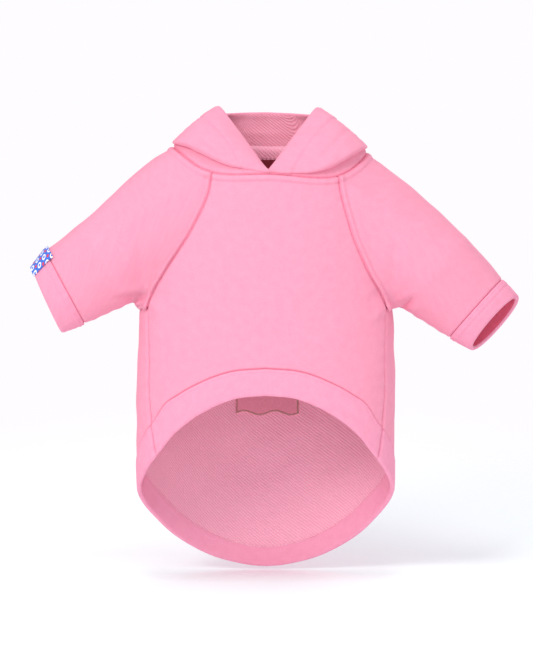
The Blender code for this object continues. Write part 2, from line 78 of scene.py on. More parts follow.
def smooth_step(low: float, high: float, at: np.ndarray) -> np.ndarray:
    """Go from 0 to 1 between low and high."""
    t = np.clip((np.asarray(at, float) - low) / (high - low), 0.0, 1.0)
    return t * t * (3.0 - 2.0 * t)


def uneven(count: int, crowd: float, both: bool) -> np.ndarray:
    """Steps from 0 to 1 that crowd together at the start, or at both ends."""
    even = np.linspace(0.0, 1.0, count + 1)
    turn = (2.0 if both else 1.0) * math.pi
    return even - crowd * np.sin(turn * even) / turn


def runs_of(line: np.ndarray) -> np.ndarray:
    """Length along a line to each of its points."""
    return np.concatenate([[0.0], np.cumsum(np.linalg.norm(np.diff(line, axis=0), axis=1))])


def read_line(at: np.ndarray, runs: np.ndarray, line: np.ndarray) -> np.ndarray:
    """Read points of a line at lengths along it."""
    return np.stack([np.interp(at, runs, line[:, axis]) for axis in range(3)], axis=1)


def waves(points: np.ndarray, length: float, seed: int) -> np.ndarray:
    """Slow, even waves through space, from about -1 to 1.

    Args:
        points: places in millimetres.
        length: length of one wave in millimetres.
        seed: picks the directions.

    Returns:
        One number for each point.
    """
    chance = np.random.default_rng(seed)
    total = np.zeros(points.shape[:-1])
    for _ in range(7):
        way = unit(chance.normal(size=3)) * chance.uniform(0.7, 1.4) / length
        total += np.sin(points @ way * TURN + chance.uniform(0.0, TURN))
    return total / 3.2


class Curve:
    """A smooth curve through the rows of a short table."""

    def __init__(self, rows: tuple[tuple[float, ...], ...], column: int = 1) -> None:
        """Read the keys and one column of the table."""
        self.keys = np.array([row[0] for row in rows])
        self.values = np.array([row[column] for row in rows])
        places = np.arange(len(rows))
        before = np.maximum(places - 1, 0)
        after = np.minimum(places + 1, len(rows) - 1)
        self.slopes = ((self.values[after] - self.values[before])
                       / (self.keys[after] - self.keys[before]))

    def __call__(self, at: np.ndarray | float) -> np.ndarray:
        """Read the curve at one or many keys."""
        at = np.clip(at, self.keys[0], self.keys[-1])
        index = np.clip(np.searchsorted(self.keys, at, side="right") - 1, 0, len(self.keys) - 2)
        span = self.keys[index + 1] - self.keys[index]
        t = (at - self.keys[index]) / span
        rise = t * t * (3.0 - 2.0 * t)
        chord = self.values[index] * (1.0 - rise) + self.values[index + 1] * rise
        bend = (1.0 - t) * self.slopes[index] - t * self.slopes[index + 1]
        return chord + span * t * (1.0 - t) * bend


@dataclass(frozen=True)
class Body:
    """The garment's skin: sizes in millimetres, angles in degrees from the front centre."""

    neck_width: float = 150.0
    neck_front_depth: float = 42.0
    neck_back_depth: float = 43.0
    neck_side_rise: float = 12.5
    chest_width: float = 201.0
    chest_front_depth: float = 55.0
    chest_back_depth: float = 60.0
    shift: float = -3.5
    belly_edge_drop: float = 178.6
    back_edge_drop: float = 314.0
    armpit_drop: float = 111.0
    roundness: float = 0.9
    belly_band: float = 21.0
    back_band: float = 15.5
    band_narrows: float = 60.0
    band_lean: float = 4.5
    back_seam_bow: float = 0.92
    armpit_row: float = 10.0 / 17.0
    sections: Curve = field(default=Curve((
        (-0.05, 0.00), (0.00, 0.04), (0.05, 0.22), (0.13, 0.52), (0.22, 0.75),
        (0.34, 0.90), (0.48, 0.98), (0.70, 1.00), (1.00, 0.90))))
    neck_seam: tuple[tuple[float, ...], ...] = (
        (0.0, -0.48, -0.48), (10.0, -0.51, -0.58), (20.0, -0.53, -0.69), (30.0, -0.45, -0.73),
        (38.0, -0.25, -0.67), (46.0, 0.00, -0.48), (54.0, 0.34, -0.22), (65.0, 0.75, 0.18),
        (77.0, 1.04, 0.54), (90.0, 1.16, 0.76), (120.0, 1.12, 0.85), (141.0, 0.87, 0.67),
        (160.0, 0.62, 0.52), (180.0, 0.48, 0.48))
    edge: Curve = field(default=Curve((
        (0.0, 0.000), (12.0, 0.020), (28.0, 0.106), (43.0, 0.220), (56.0, 0.343),
        (77.0, 0.485), (90.0, 0.546), (105.0, 0.620), (120.0, 0.710), (137.0, 0.827),
        (157.0, 0.939), (173.0, 0.991), (180.0, 1.000))))
    raglans: tuple[tuple[float, ...], ...] = (
        (0.00, 33.0, 41.0, 141.0), (0.15, 32.5, 41.0, 138.0), (0.30, 35.0, 42.5, 134.0),
        (0.50, 41.5, 46.0, 126.0), (0.75, 55.0, 55.5, 111.0), (0.90, 64.5, 66.0, 93.0),
        (1.00, 69.0, 72.0, 70.5))
    side_seam: Curve = field(default=Curve(((0.0, 1.00), (0.4, 0.94), (0.7, 0.93), (1.0, 0.88))))

    def grown(self, drop: np.ndarray) -> np.ndarray:
        """How far a section has grown from the neck's size to the chest's."""
        return self.sections(np.asarray(drop) / self.back_edge_drop)

    def point(self, angle: np.ndarray, drop: np.ndarray) -> np.ndarray:
        """Points on the skin at angles and drops below the origin."""
        angle, drop = np.broadcast_arrays(np.asarray(angle, float), np.asarray(drop, float))
        grown = self.grown(drop)
        half = (self.neck_width + (self.chest_width - self.neck_width) * grown) / 2.0
        front = self.neck_front_depth + (self.chest_front_depth - self.neck_front_depth) * grown
        back = self.neck_back_depth + (self.chest_back_depth - self.neck_back_depth) * grown
        turn = np.radians(angle)
        across = signed_power(np.sin(turn), self.roundness)
        along = signed_power(np.cos(turn), self.roundness)
        depth = np.where(along > 0.0, front, back)
        return np.stack([self.shift * grown + half * across, -depth * along, -drop], axis=-1)

    def normal(self, angle: np.ndarray, drop: np.ndarray) -> np.ndarray:
        """Outward directions of the skin."""
        step = 0.5
        round_way = self.point(angle + step, drop) - self.point(angle - step, drop)
        down_way = self.point(angle, drop + step) - self.point(angle, drop - step)
        return unit(np.cross(down_way, round_way))

    def neck_drop(self, angle: np.ndarray) -> np.ndarray:
        """Drop of the neck seam."""
        at = np.abs(angle)
        share = np.where(np.asarray(angle) < 0.0, Curve(self.neck_seam, 1)(at),
                         Curve(self.neck_seam, 2)(at))
        return -self.neck_side_rise * share

    def edge_drop(self, angle: np.ndarray) -> np.ndarray:
        """Drop of the lower edge of the hem band."""
        share = self.edge(np.abs(angle))
        return self.belly_edge_drop + (self.back_edge_drop - self.belly_edge_drop) * share

    def hem_drop(self, angle: np.ndarray) -> np.ndarray:
        """Drop of the seam above the hem band."""
        step = 4.0
        run = np.linalg.norm(self.point(angle + step, self.belly_edge_drop)
                             - self.point(angle - step, self.belly_edge_drop), axis=-1)
        slope = (self.edge_drop(angle + step) - self.edge_drop(angle - step)) / run
        band = self.belly_band + ((self.back_band - self.belly_band)
                                  * smooth_step(self.band_narrows, 180.0, np.abs(angle)))
        return self.edge_drop(angle) - band * np.sqrt(1.0 + slope * slope)

    def start_angle(self, side: Side) -> float:
        """Angle at which a side's front raglan seam leaves the neck."""
        return self.raglans[0][1 if side is Side.LEFT else 2]

    def armpit_angle(self, side: Side) -> float:
        """Angle at which a side's seams meet under the arm."""
        return self.raglans[-1][1 if side is Side.LEFT else 2]

    def front_seam(self, side: Side, row: np.ndarray) -> tuple[np.ndarray, np.ndarray]:
        """Angles and drops on the front raglan seam and the side seam, row from 0 to 1."""
        column = 1 if side is Side.LEFT else 2
        share = np.clip(row / self.armpit_row, 0.0, 1.0)
        below = np.clip((row - self.armpit_row) / (1.0 - self.armpit_row), 0.0, 1.0)
        angle = Curve(self.raglans, column)(share)
        angle = np.where(row > self.armpit_row,
                         self.armpit_angle(side) * self.side_seam(below), angle)
        top = self.neck_drop(side.value * self.start_angle(side))
        bottom = self.hem_drop(side.value * self.armpit_angle(side) * self.side_seam(1.0))
        drop = top + (self.armpit_drop - top) * share + (bottom - self.armpit_drop) * below
        return side.value * angle, drop

    def back_seam(self, side: Side, row: np.ndarray) -> tuple[np.ndarray, np.ndarray]:
        """Angles and drops on the back raglan seam and the side seam, row from 0 to 1."""
        front_angle, front_drop = self.front_seam(side, row)
        share = np.clip(row / self.armpit_row, 0.0, 1.0)
        start, stop = self.raglans[0][3], self.raglans[-1][3]
        travel = (start - Curve(self.raglans, 3)(share)) / (start - stop)
        top = self.neck_drop(side.value * start)
        angle = side.value * (start + (self.armpit_angle(side) - start) * travel)
        drop = top + (self.armpit_drop - top) * share ** self.back_seam_bow
        above = row < self.armpit_row
        return np.where(above, angle, front_angle), np.where(above, drop, front_drop)

    def panel_places(self, behind: bool, down: np.ndarray,
                     sideways: np.ndarray) -> tuple[np.ndarray, np.ndarray]:
        """Angles and drops of a body panel's points, from the neck to the hem band."""
        row = np.repeat(down[:, None], len(sideways), axis=1)
        across = np.repeat(sideways[None], len(down), axis=0)
        angle, share = np.zeros_like(row), np.zeros_like(row)
        for side in Side:
            here = (across < 0.0) if (side is Side.LEFT) != behind else (across >= 0.0)
            seam = self.back_seam if behind else self.front_seam
            seam_angle, seam_drop = seam(side, row[here])
            turned = np.abs(across[here]) * seam_angle
            if behind:
                turned = side.value * (180.0 - np.abs(across[here])
                                       * (180.0 - np.abs(seam_angle)))
            reach = seam_drop - self.neck_drop(seam_angle)
            reach /= self.hem_drop(seam_angle) - self.neck_drop(seam_angle)
            angle[here] = turned
            share[here] = row[here] + (reach - row[here]) * across[here] ** 2
        top = self.neck_drop(angle)
        return angle, top + (self.hem_drop(angle) - top) * share


@dataclass(frozen=True)
class Ring:
    """An oval ring of a sleeve, in millimetres and degrees."""

    out: float
    drop: float
    tilt: float
    width: float
    depth: float
    forward: float = 0.0
    depth_roundness: float = 0.9
    width_roundness: float = 0.95

    def centre(self, side: Side) -> np.ndarray:
        """The middle of the ring."""
        return np.array([side.value * self.out, 0.0, -self.drop])

    def point(self, side: Side, turn: np.ndarray) -> np.ndarray:
        """Points on the ring: 0 is the underside, 90 the front and 180 the top."""
        lean = math.radians(self.tilt)
        up = np.array([side.value * math.sin(lean), 0.0, math.cos(lean)])
        away = np.array([side.value * math.cos(lean), 0.0, -math.sin(lean)])
        flat = signed_power(np.sin(np.radians(turn)), self.depth_roundness)[..., None]
        tall = signed_power(np.cos(np.radians(turn)), self.width_roundness)[..., None]
        return (self.centre(side) - up * tall * self.width / 2.0
                - np.array([0.0, 1.0, 0.0]) * flat * self.depth / 2.0
                - away * self.forward * flat)


@dataclass
class Cloth:
    """A grid of points on the garment's skin, with rows that run from seam to edge."""

    points: np.ndarray
    closed: bool

    def runs(self, axis: int) -> np.ndarray:
        """Length from the first point down the columns (axis 0) or across the rows (axis 1)."""
        steps = np.linalg.norm(np.diff(self.points, axis=axis), axis=2)
        start = np.zeros_like(steps[:, :1] if axis else steps[:1])
        return np.concatenate([start, np.cumsum(steps, axis=axis)], axis=axis)

    def plan(self, middle: int) -> np.ndarray:
        """Flat place of each point, across from a middle column and down, in millimetres."""
        across = self.runs(1)
        return np.stack([across - across[:, middle:middle + 1], self.runs(0)], axis=-1)

    def around(self) -> np.ndarray:
        """Length of each row all the way round."""
        closing = np.linalg.norm(self.points[:, -1] - self.points[:, 0], axis=1)
        return self.runs(1)[:, -1] + closing

    def area(self) -> float:
        """Area of one face of the cloth in square millimetres."""
        grid = self.points
        if self.closed:
            grid = np.concatenate([grid, grid[:, :1]], axis=1)
        one = grid[1:, 1:] - grid[:-1, :-1]
        other = grid[:-1, 1:] - grid[1:, :-1]
        return float(np.linalg.norm(np.cross(one, other), axis=2).sum() / 2.0)


def cloth_wall(name: str, outer: np.ndarray, inner: np.ndarray, cloth: Cloth, lay: Lay,
               middle: int = 0) -> bpy.types.Object:
    """Make a closed cloth wall between two grids of points, in place of its node.

    Args:
        name: the name of the node and the new object.
        outer: outside points in millimetres, rows by columns.
        inner: inside points.
        cloth: the grid that the wall follows, for its flat places.
        lay: how the last row ends; a folded edge is rounded.
        middle: the column from which flat places are measured.

    Returns:
        The new object, with material slot 0 outside and slot 1 inside.
    """
    rows, columns = outer.shape[:2]
    closed, plan, around = cloth.closed, cloth.plan(middle), cloth.around()
    bend = []
    if lay is Lay.FOLDED_EDGE:
        centre = (outer[-1] + inner[-1]) / 2.0
        radius = (outer[-1] - inner[-1]) / 2.0
        ahead = unit(outer[-1] - outer[-2] + inner[-1] - inner[-2])
        reach = np.linalg.norm(radius, axis=1, keepdims=True)
        for angle in np.radians([36.0, 72.0, 108.0, 144.0]):
            bend.append(centre + radius * math.cos(angle) + ahead * reach * math.sin(angle))
    strip = np.concatenate([outer, np.array(bend).reshape(-1, columns, 3), inner[::-1]])
    flat = np.concatenate([plan, np.repeat(plan[-1:], len(bend), axis=0), plan[::-1]])
    girth = np.concatenate([around, np.repeat(around[-1:], len(bend)), around[::-1]])
    tall = strip.shape[0]
    index = np.arange(tall * columns).reshape(tall, columns)
    below = np.roll(index, -1, axis=0)
    if closed:
        a, b = index, below
        c, d = np.roll(below, -1, axis=1), np.roll(index, -1, axis=1)
    else:
        a, b, c, d = index[:, :-1], below[:, :-1], below[:, 1:], index[:, 1:]
    faces = np.stack([a, b, c, d], axis=-1)
    spread = flat.reshape(-1, 2)[faces]
    if closed:
        spread[:, -1, 2, 0] += np.roll(girth, -1)
        spread[:, -1, 3, 0] += girth
    spread = list(spread.reshape(-1, 2))
    slots = np.zeros(faces.shape[:2], int)
    slots[rows - 1 + len(bend) + 1:tall - 1] = 1
    faces = [tuple(int(i) for i in face) for face in faces.reshape(-1, 4)]
    slots = list(slots.reshape(-1))
    if not closed:
        for column, flip in ((0, False), (columns - 1, True)):
            for row in range(rows - 1):
                other = tall - 1 - row
                corner = [index[row, column], index[other, column],
                          index[other - 1, column], index[row + 1, column]]
                faces.append(tuple(int(i) for i in (corner[::-1] if flip else corner)))
                slots.append(0)
            if bend:
                fan = [index[row, column] for row in range(rows - 1, rows + len(bend) + 1)]
                faces.append(tuple(int(i) for i in (fan if flip else fan[::-1])))
                slots.append(0)
        for face in faces[len(spread) // 4:]:
            spread.extend(flat.reshape(-1, 2)[list(face)])
    mesh = bpy.data.meshes.new(name)
    mesh.from_pydata((strip.reshape(-1, 3) * MM).tolist(), [], faces)
    mesh.polygons.foreach_set("material_index", slots)
    layer = mesh.uv_layers.new(name="cloth")
    layer.data.foreach_set("uv", (np.array(spread) * MM).reshape(-1))
    mesh.shade_smooth()
    mesh.set_sharp_from_angle(angle=math.radians(60.0))
    mesh.update()
    thing = bpy.data.objects.new(name, mesh)
    bpy.context.scene.collection.objects.link(thing)
    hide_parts(name)
    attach(thing, BODY_NAME)
    return thing


@dataclass(frozen=True)
class Cuts:
    """How many fine steps each stretch of seam is cut into."""

    raglan: int = 100
    side: int = 84
    neck: int = 64
    front: int = 120
    back: int = 168
    band: int = 16
    shoulder: int = 48
    arm: int = 24
    hood: int = 96
    crowd: float = 0.6

    def down(self, armpit_row: float) -> np.ndarray:
        """Rows of a body panel from the neck to the hem band, close together at seams."""
        above = armpit_row * uneven(self.raglan, self.crowd, False)
        below = 1.0 - (1.0 - armpit_row) * uneven(self.side, self.crowd, False)[::-1]
        return np.concatenate([above, below[1:]])

    def across(self, columns: int) -> np.ndarray:
        """Columns of a body panel from -1 to 1, close together at the two borders."""
        return 2.0 * uneven(columns, self.crowd, True) - 1.0


@dataclass(frozen=True)
class Sleeve:
    """A short raglan sleeve and its cuff, as rings joined to the armhole."""

    side: Side
    armpit: Ring
    cuff_seam: Ring
    cuff_edge: Ring
    front_turn: float = 122.0
    back_turn: float = 240.0
    lift: float = 4.0
    follow: float = 0.55

    def armhole(self, body: Body, cuts: Cuts) -> tuple[np.ndarray, np.ndarray, np.ndarray]:
        """Angles, drops and ring turns round the armhole, from the armpit and back."""
        start, stop = body.start_angle(self.side), body.raglans[0][3]
        steps = uneven(cuts.raglan, cuts.crowd, False)
        up = steps[::-1] * body.armpit_row
        front_angle, front_drop = body.front_seam(self.side, up)
        neck_angle = self.side.value * np.linspace(start, stop, cuts.neck + 1)[1:]
        down = steps[1:-1] * body.armpit_row
        back_angle, back_drop = body.back_seam(self.side, down)
        turns = np.concatenate([
            self.front_turn * (1.0 - steps[::-1]),
            np.linspace(self.front_turn, self.back_turn, cuts.neck + 1)[1:],
            self.back_turn + (360.0 - self.back_turn) * steps[1:-1]])
        return (np.concatenate([front_angle, neck_angle, back_angle]),
                np.concatenate([front_drop, body.neck_drop(neck_angle), back_drop]), turns)

    def grid(self, body: Body, cuts: Cuts) -> np.ndarray:
        """Sample the sleeve from its armhole over the shoulder to the seam of its cuff."""
        angle, drop, turns = self.armhole(body, cuts)
        start, normal = body.point(angle, drop), body.normal(angle, drop)
        arm = self.armpit.point(self.side, turns)
        cuff = self.cuff_seam.point(self.side, turns)
        axis = unit(self.cuff_seam.centre(self.side) - self.armpit.centre(self.side))
        length = np.linalg.norm(arm - start, axis=1, keepdims=True)
        over = np.maximum(0.0, -np.cos(np.radians(turns)))[:, None]
        square = normal @ axis
        leave = unit(axis - normal * square[:, None] * self.follow * (1.0 - over))
        lift = UP * self.lift * over
        hold_a = start + leave * length / 3.0 + lift
        hold_b = arm - axis * length / 3.0 + lift
        t = uneven(cuts.shoulder, cuts.crowd, False)[:, None, None]
        s = 1.0 - t
        top = (s ** 3 * start + 3.0 * s * s * t * hold_a + 3.0 * s * t * t * hold_b
               + t ** 3 * arm)
        t = 1.0 - uneven(cuts.arm, cuts.crowd, False)[::-1][1:, None, None]
        grid = np.concatenate([top, arm * (1.0 - t) + cuff * t])
        return grid if self.side is Side.RIGHT else grid[:, ::-1]

    def cuff(self, body: Body, cuts: Cuts) -> np.ndarray:
        """Sample the cuff from its seam to its edge."""
        turns = self.armhole(body, cuts)[2]
        seam = self.cuff_seam.point(self.side, turns)
        edge = self.cuff_edge.point(self.side, turns)
        grid = seam + (edge - seam) * uneven(cuts.band, cuts.crowd, False)[:, None, None]
        return grid if self.side is Side.RIGHT else grid[:, ::-1]


@dataclass(frozen=True)
class Hood:
    """The laid-back hood: two lapels in front and a hanging bag behind."""

    height: float = 47.0
    half_width: float = 38.2
    shift: float = -1.6
    reach: float = 38.0
    drop: float = 62.0
    lean: float = 0.0133
    stand: float = 12.0
    roll: float = 5.0
    crease_tuck: float = 0.30
    under_roll: float = 0.75
    under_out: float = 0.5
    overhang: float = 1.2
    bulge_rise: float = 0.55
    bulge_out: float = 1.6
    bow_out: float = 0.5
    bow_up: float = 0.45
    puff: float = 1.5
    bow_places: tuple[float, ...] = (0.25, 0.5, 0.75)
    rim_crowd: float = 0.35
    bag_start: float = 108.0
    bag_full: float = 158.0
    hang_start: float = 116.0
    hang_full: float = 170.0
    spread: float = 0.7
    hem: float = 17.0
    seam_share: float = 0.5
    rim: tuple[tuple[float, ...], ...] = (
        (0.0, 0.00, 0.000, -0.060), (15.0, 0.20, 0.065, 0.17), (30.0, 0.43, 0.155, 0.43),
        (50.0, 0.70, 0.260, 0.72), (68.0, 0.91, 0.345, 0.94), (80.0, 1.00, 0.410, 1.00),
        (95.0, 1.06, 0.520, 0.96), (115.0, 1.10, 0.690, 0.91), (140.0, 0.94, 0.860, 0.89),
        (160.0, 0.56, 0.965, 0.90), (180.0, 0.00, 1.000, 0.91))
    fold: tuple[tuple[float, ...], ...] = (
        (0.0, 0.05, 0.05, 0.02), (10.0, 0.35, 0.15, 0.20), (21.0, 0.60, 0.30, 0.55),
        (32.0, 0.95, 0.60, 0.90), (42.0, 1.00, 0.85, 1.00), (53.0, 0.90, 0.92, 0.95),
        (66.0, 0.58, 0.75, 0.75), (80.0, 0.32, 0.50, 0.30), (95.0, 0.30, 0.40, 0.20),
        (120.0, 0.35, 0.35, 0.30), (180.0, 0.35, 0.35, 0.30))
    bag: tuple[tuple[float, float], ...] = (
        (0.04, -0.10), (0.26, -0.06), (0.36, 0.45), (0.60, 1.00), (0.98, 0.62), (1.04, 0.05))

    def angles(self, body: Body, cuts: Cuts) -> np.ndarray:
        """Angles round the neck, from the front centre over the -X side and back."""
        left, right = body.start_angle(Side.LEFT), body.start_angle(Side.RIGHT)
        stop = body.raglans[0][3]
        front = cuts.across(cuts.front)[cuts.front // 2:]
        back = 180.0 - cuts.across(cuts.back)[cuts.back // 2:][::-1] * (180.0 - stop)
        return np.concatenate([
            -front * left,
            -np.linspace(left, stop, cuts.neck + 1)[1:],
            -back[1:],
            back[::-1][1:],
            np.linspace(stop, right, cuts.neck + 1)[1:],
            front[::-1][1:] * right])

    def rim_points(self, body: Body, angles: np.ndarray) -> np.ndarray:
        """Points on the rim."""
        at = np.abs(angles)
        across = np.where(angles < 0.0, -1.0, 1.0) * self.half_width * Curve(self.rim, 1)(at)
        back = body.neck_back_depth + self.reach
        along = -body.neck_front_depth + (back + body.neck_front_depth) * Curve(self.rim, 2)(at)
        up = self.height * Curve(self.rim, 3)(at) - self.lean * across
        return np.stack([self.shift + across, along, up], axis=-1)

    def grid(self, body: Body, cuts: Cuts) -> np.ndarray:
        """Sample the whole hood from the neck seam to the rim."""
        angles = self.angles(body, cuts)
        at = np.abs(angles)
        seam = body.point(angles, body.neck_drop(angles))
        rim = self.rim_points(body, angles)
        side_way = seam[:, 0] / body.neck_width
        none, one = np.zeros_like(at), np.ones_like(at)
        out = unit(np.stack([side_way, seam[:, 1] / (2.0 * body.neck_back_depth), none], axis=1))
        backwards = unit(np.stack([side_way * self.spread, one, none], axis=1))
        height = np.where(angles < 0.0, Curve(self.fold, 1)(at), Curve(self.fold, 2)(at))[:, None]
        stand = self.stand * height
        roll = self.roll * Curve(self.fold, 3)(at)[:, None]
        crease = seam + UP * stand - out * self.crease_tuck * stand
        under = (crease + out * (self.under_roll * roll + self.under_out * height)
                 - UP * self.overhang * height)
        puffed = self.bulge_out * height
        bulge = crease + out * (roll + puffed) + UP * (self.bulge_rise * roll + puffed)
        lapel = [crease, under, bulge]
        for share in self.bow_places:
            bow = ((out * self.bow_out + UP * self.bow_up) * (roll + self.puff)
                   * math.sin(math.pi * share))
            lapel.append(bulge + (rim - bulge) * share + bow)
        hang = smooth_step(self.hang_start, self.hang_full, at)[:, None]
        turn_over = smooth_step(self.bag_start, self.bag_full, at)[:, None]
        nodes = [seam]
        for flat, (far, down) in zip(lapel, self.bag):
            fall = down * hang if down > 0.0 else down
            low = seam + backwards * self.reach * far - UP * self.drop * fall
            nodes.append(flat * (1.0 - turn_over) + low * turn_over)
        nodes.append(rim)
        return through(np.stack(nodes), uneven(cuts.hood, self.rim_crowd, True))


def through(nodes: np.ndarray, steps: np.ndarray) -> np.ndarray:
    """Read steps from 0 to 1 of a smooth curve through rows of points."""
    last = len(nodes) - 1
    place = steps * last
    index = np.minimum(place.astype(int), last - 1)
    t = (place - index)[:, None, None]
    a, b = nodes[np.maximum(index - 1, 0)], nodes[index]
    c, d = nodes[index + 1], nodes[np.minimum(index + 2, last)]
    return 0.5 * (2.0 * b + (c - a) * t + (2.0 * a - 5.0 * b + 4.0 * c - d) * t * t
                  + (3.0 * b - a - 3.0 * c + d) * t ** 3)


def shared_normals(cloths: dict[str, Cloth], passes: int) -> dict[str, np.ndarray]:
    """Outward directions that neighbouring pieces share along their seams.

    Args:
        cloths: the pieces by name; their points meet along the seams.
        passes: how often the directions are evened out over the faces.

    Returns:
        Directions for each piece, in the layout of its points.
    """
    points = np.concatenate([cloth.points.reshape(-1, 3) for cloth in cloths.values()])
    _, merged = np.unique(np.round(points, 3), axis=0, return_inverse=True)
    merged = merged.reshape(-1)
    faces, ways, start = [], [], 0
    for cloth in cloths.values():
        rows, columns = cloth.points.shape[:2]
        index = np.arange(rows * columns).reshape(rows, columns) + start
        if cloth.closed:
            index = np.concatenate([index, index[:, :1]], axis=1)
        start += rows * columns
        quad = np.stack([index[:-1, :-1], index[1:, :-1], index[1:, 1:], index[:-1, 1:]], axis=-1)
        quad = quad.reshape(-1, 4)
        ways.append(np.cross(points[quad[:, 2]] - points[quad[:, 0]],
                             points[quad[:, 3]] - points[quad[:, 1]]))
        faces.append(merged[quad])
    faces, ways = np.concatenate(faces), unit(np.concatenate(ways))
    count = merged.max() + 1
    corners = faces.reshape(-1)

    def gather(values: np.ndarray) -> np.ndarray:
        """Add each face's value to its corners."""
        spread = np.repeat(values, 4, axis=0)
        return unit(np.stack([np.bincount(corners, spread[:, axis], count)
                              for axis in range(3)], axis=1))

    normals = gather(ways)
    for _ in range(passes):
        normals = gather(normals[faces].sum(axis=1))
    result, start = {}, 0
    for name, cloth in cloths.items():
        size = cloth.points.shape[0] * cloth.points.shape[1]
        result[name] = normals[merged[start:start + size]].reshape(cloth.points.shape)
        start += size
    return result


@dataclass
class Seam:
    """A seam between pieces, as a line of points in millimetres."""

    points: np.ndarray
    closed: bool = False

    def measure(self, places: np.ndarray, step: float = 0.8) -> tuple[np.ndarray, np.ndarray]:
        """Measure how near places are.

        Args:
            places: points in any layout.
            step: how finely the seam is sampled.

        Returns:
            The distance from the seam, and how far along it the nearest point is.
        """
        line = np.concatenate([self.points, self.points[:1]]) if self.closed else self.points
        runs = runs_of(line)
        fine = np.arange(0.0, runs[-1], step)
        samples = read_line(fine, runs, line)
        flat = places.reshape(-1, 3)
        distance, along = np.empty(len(flat)), np.empty(len(flat))
        own = (samples ** 2).sum(axis=1)
        for start in range(0, len(flat), 4096):
            block = flat[start:start + 4096]
            square = (block ** 2).sum(axis=1)[:, None] + own - 2.0 * block @ samples.T
            nearest = square.argmin(axis=1)
            distance[start:start + 4096] = np.linalg.norm(block - samples[nearest], axis=1)
            along[start:start + 4096] = fine[nearest]
        return distance.reshape(places.shape[:-1]), along.reshape(places.shape[:-1])


@dataclass(frozen=True)
class Profile:
    """How a seam shapes the cloth beside it, in millimetres."""

    groove: float = 1.25
    groove_width: float = 0.95
    ridge: float = 0.0
    ridge_width: float = 4.6
    stitch_lines: tuple[float, ...] = ()
    thread: str = ""
    thread_inset: float = 0.0
    dent: float = 0.28
    stitch_width: float = 0.75
    pucker: float = 0.10
    pucker_length: float = 7.0
    pucker_reach: float = 5.0

    def height(self, distance: np.ndarray, along: np.ndarray) -> np.ndarray:
        """Height of the cloth over its plain surface."""
        total = -self.groove * np.exp(-(distance / self.groove_width) ** 2)
        total += self.ridge * (smooth_step(0.0, 1.6, distance)
                               - smooth_step(self.ridge_width, self.ridge_width + 1.4, distance))
        for line in self.stitch_lines:
            total -= self.dent * np.exp(-((distance - line) / self.stitch_width) ** 2)
        wave = along * TURN / self.pucker_length
        ripple = np.sin(wave) + 0.6 * np.sin(wave / 1.62 + 1.3)
        reach = self.ridge_width if self.ridge else 4.0
        near = np.exp(-((distance - reach / 2.0) / self.pucker_reach) ** 2)
        return total + self.pucker * ripple * near


@dataclass(frozen=True)
class Fold:
    """A soft fold seen from the front: it runs between two places, in millimetres."""

    start: tuple[float, float]
    stop: tuple[float, float]
    width: float
    rise: float
    behind: bool = False
    end_share: float = 0.04
    end_power: float = 0.6

    def height(self, points: np.ndarray, normals: np.ndarray) -> np.ndarray:
        """Height of the fold at points of the cloth."""
        flat = points[..., [0, 2]]
        start, stop = np.array(self.start), np.array(self.stop)
        way = stop - start
        length = float(np.linalg.norm(way))
        share = np.clip(((flat - start) @ way) / length ** 2, 0.0, 1.0)
        away = np.linalg.norm(flat - (start + share[..., None] * way), axis=-1)
        inside = np.clip(share, self.end_share, 1.0 - self.end_share)
        fade = np.sin(math.pi * inside) ** self.end_power
        facing = normals[..., 1] if self.behind else -normals[..., 1]
        return (self.rise * fade * np.exp(-(away / self.width) ** 2)
                * smooth_step(-0.1, 0.5, facing))


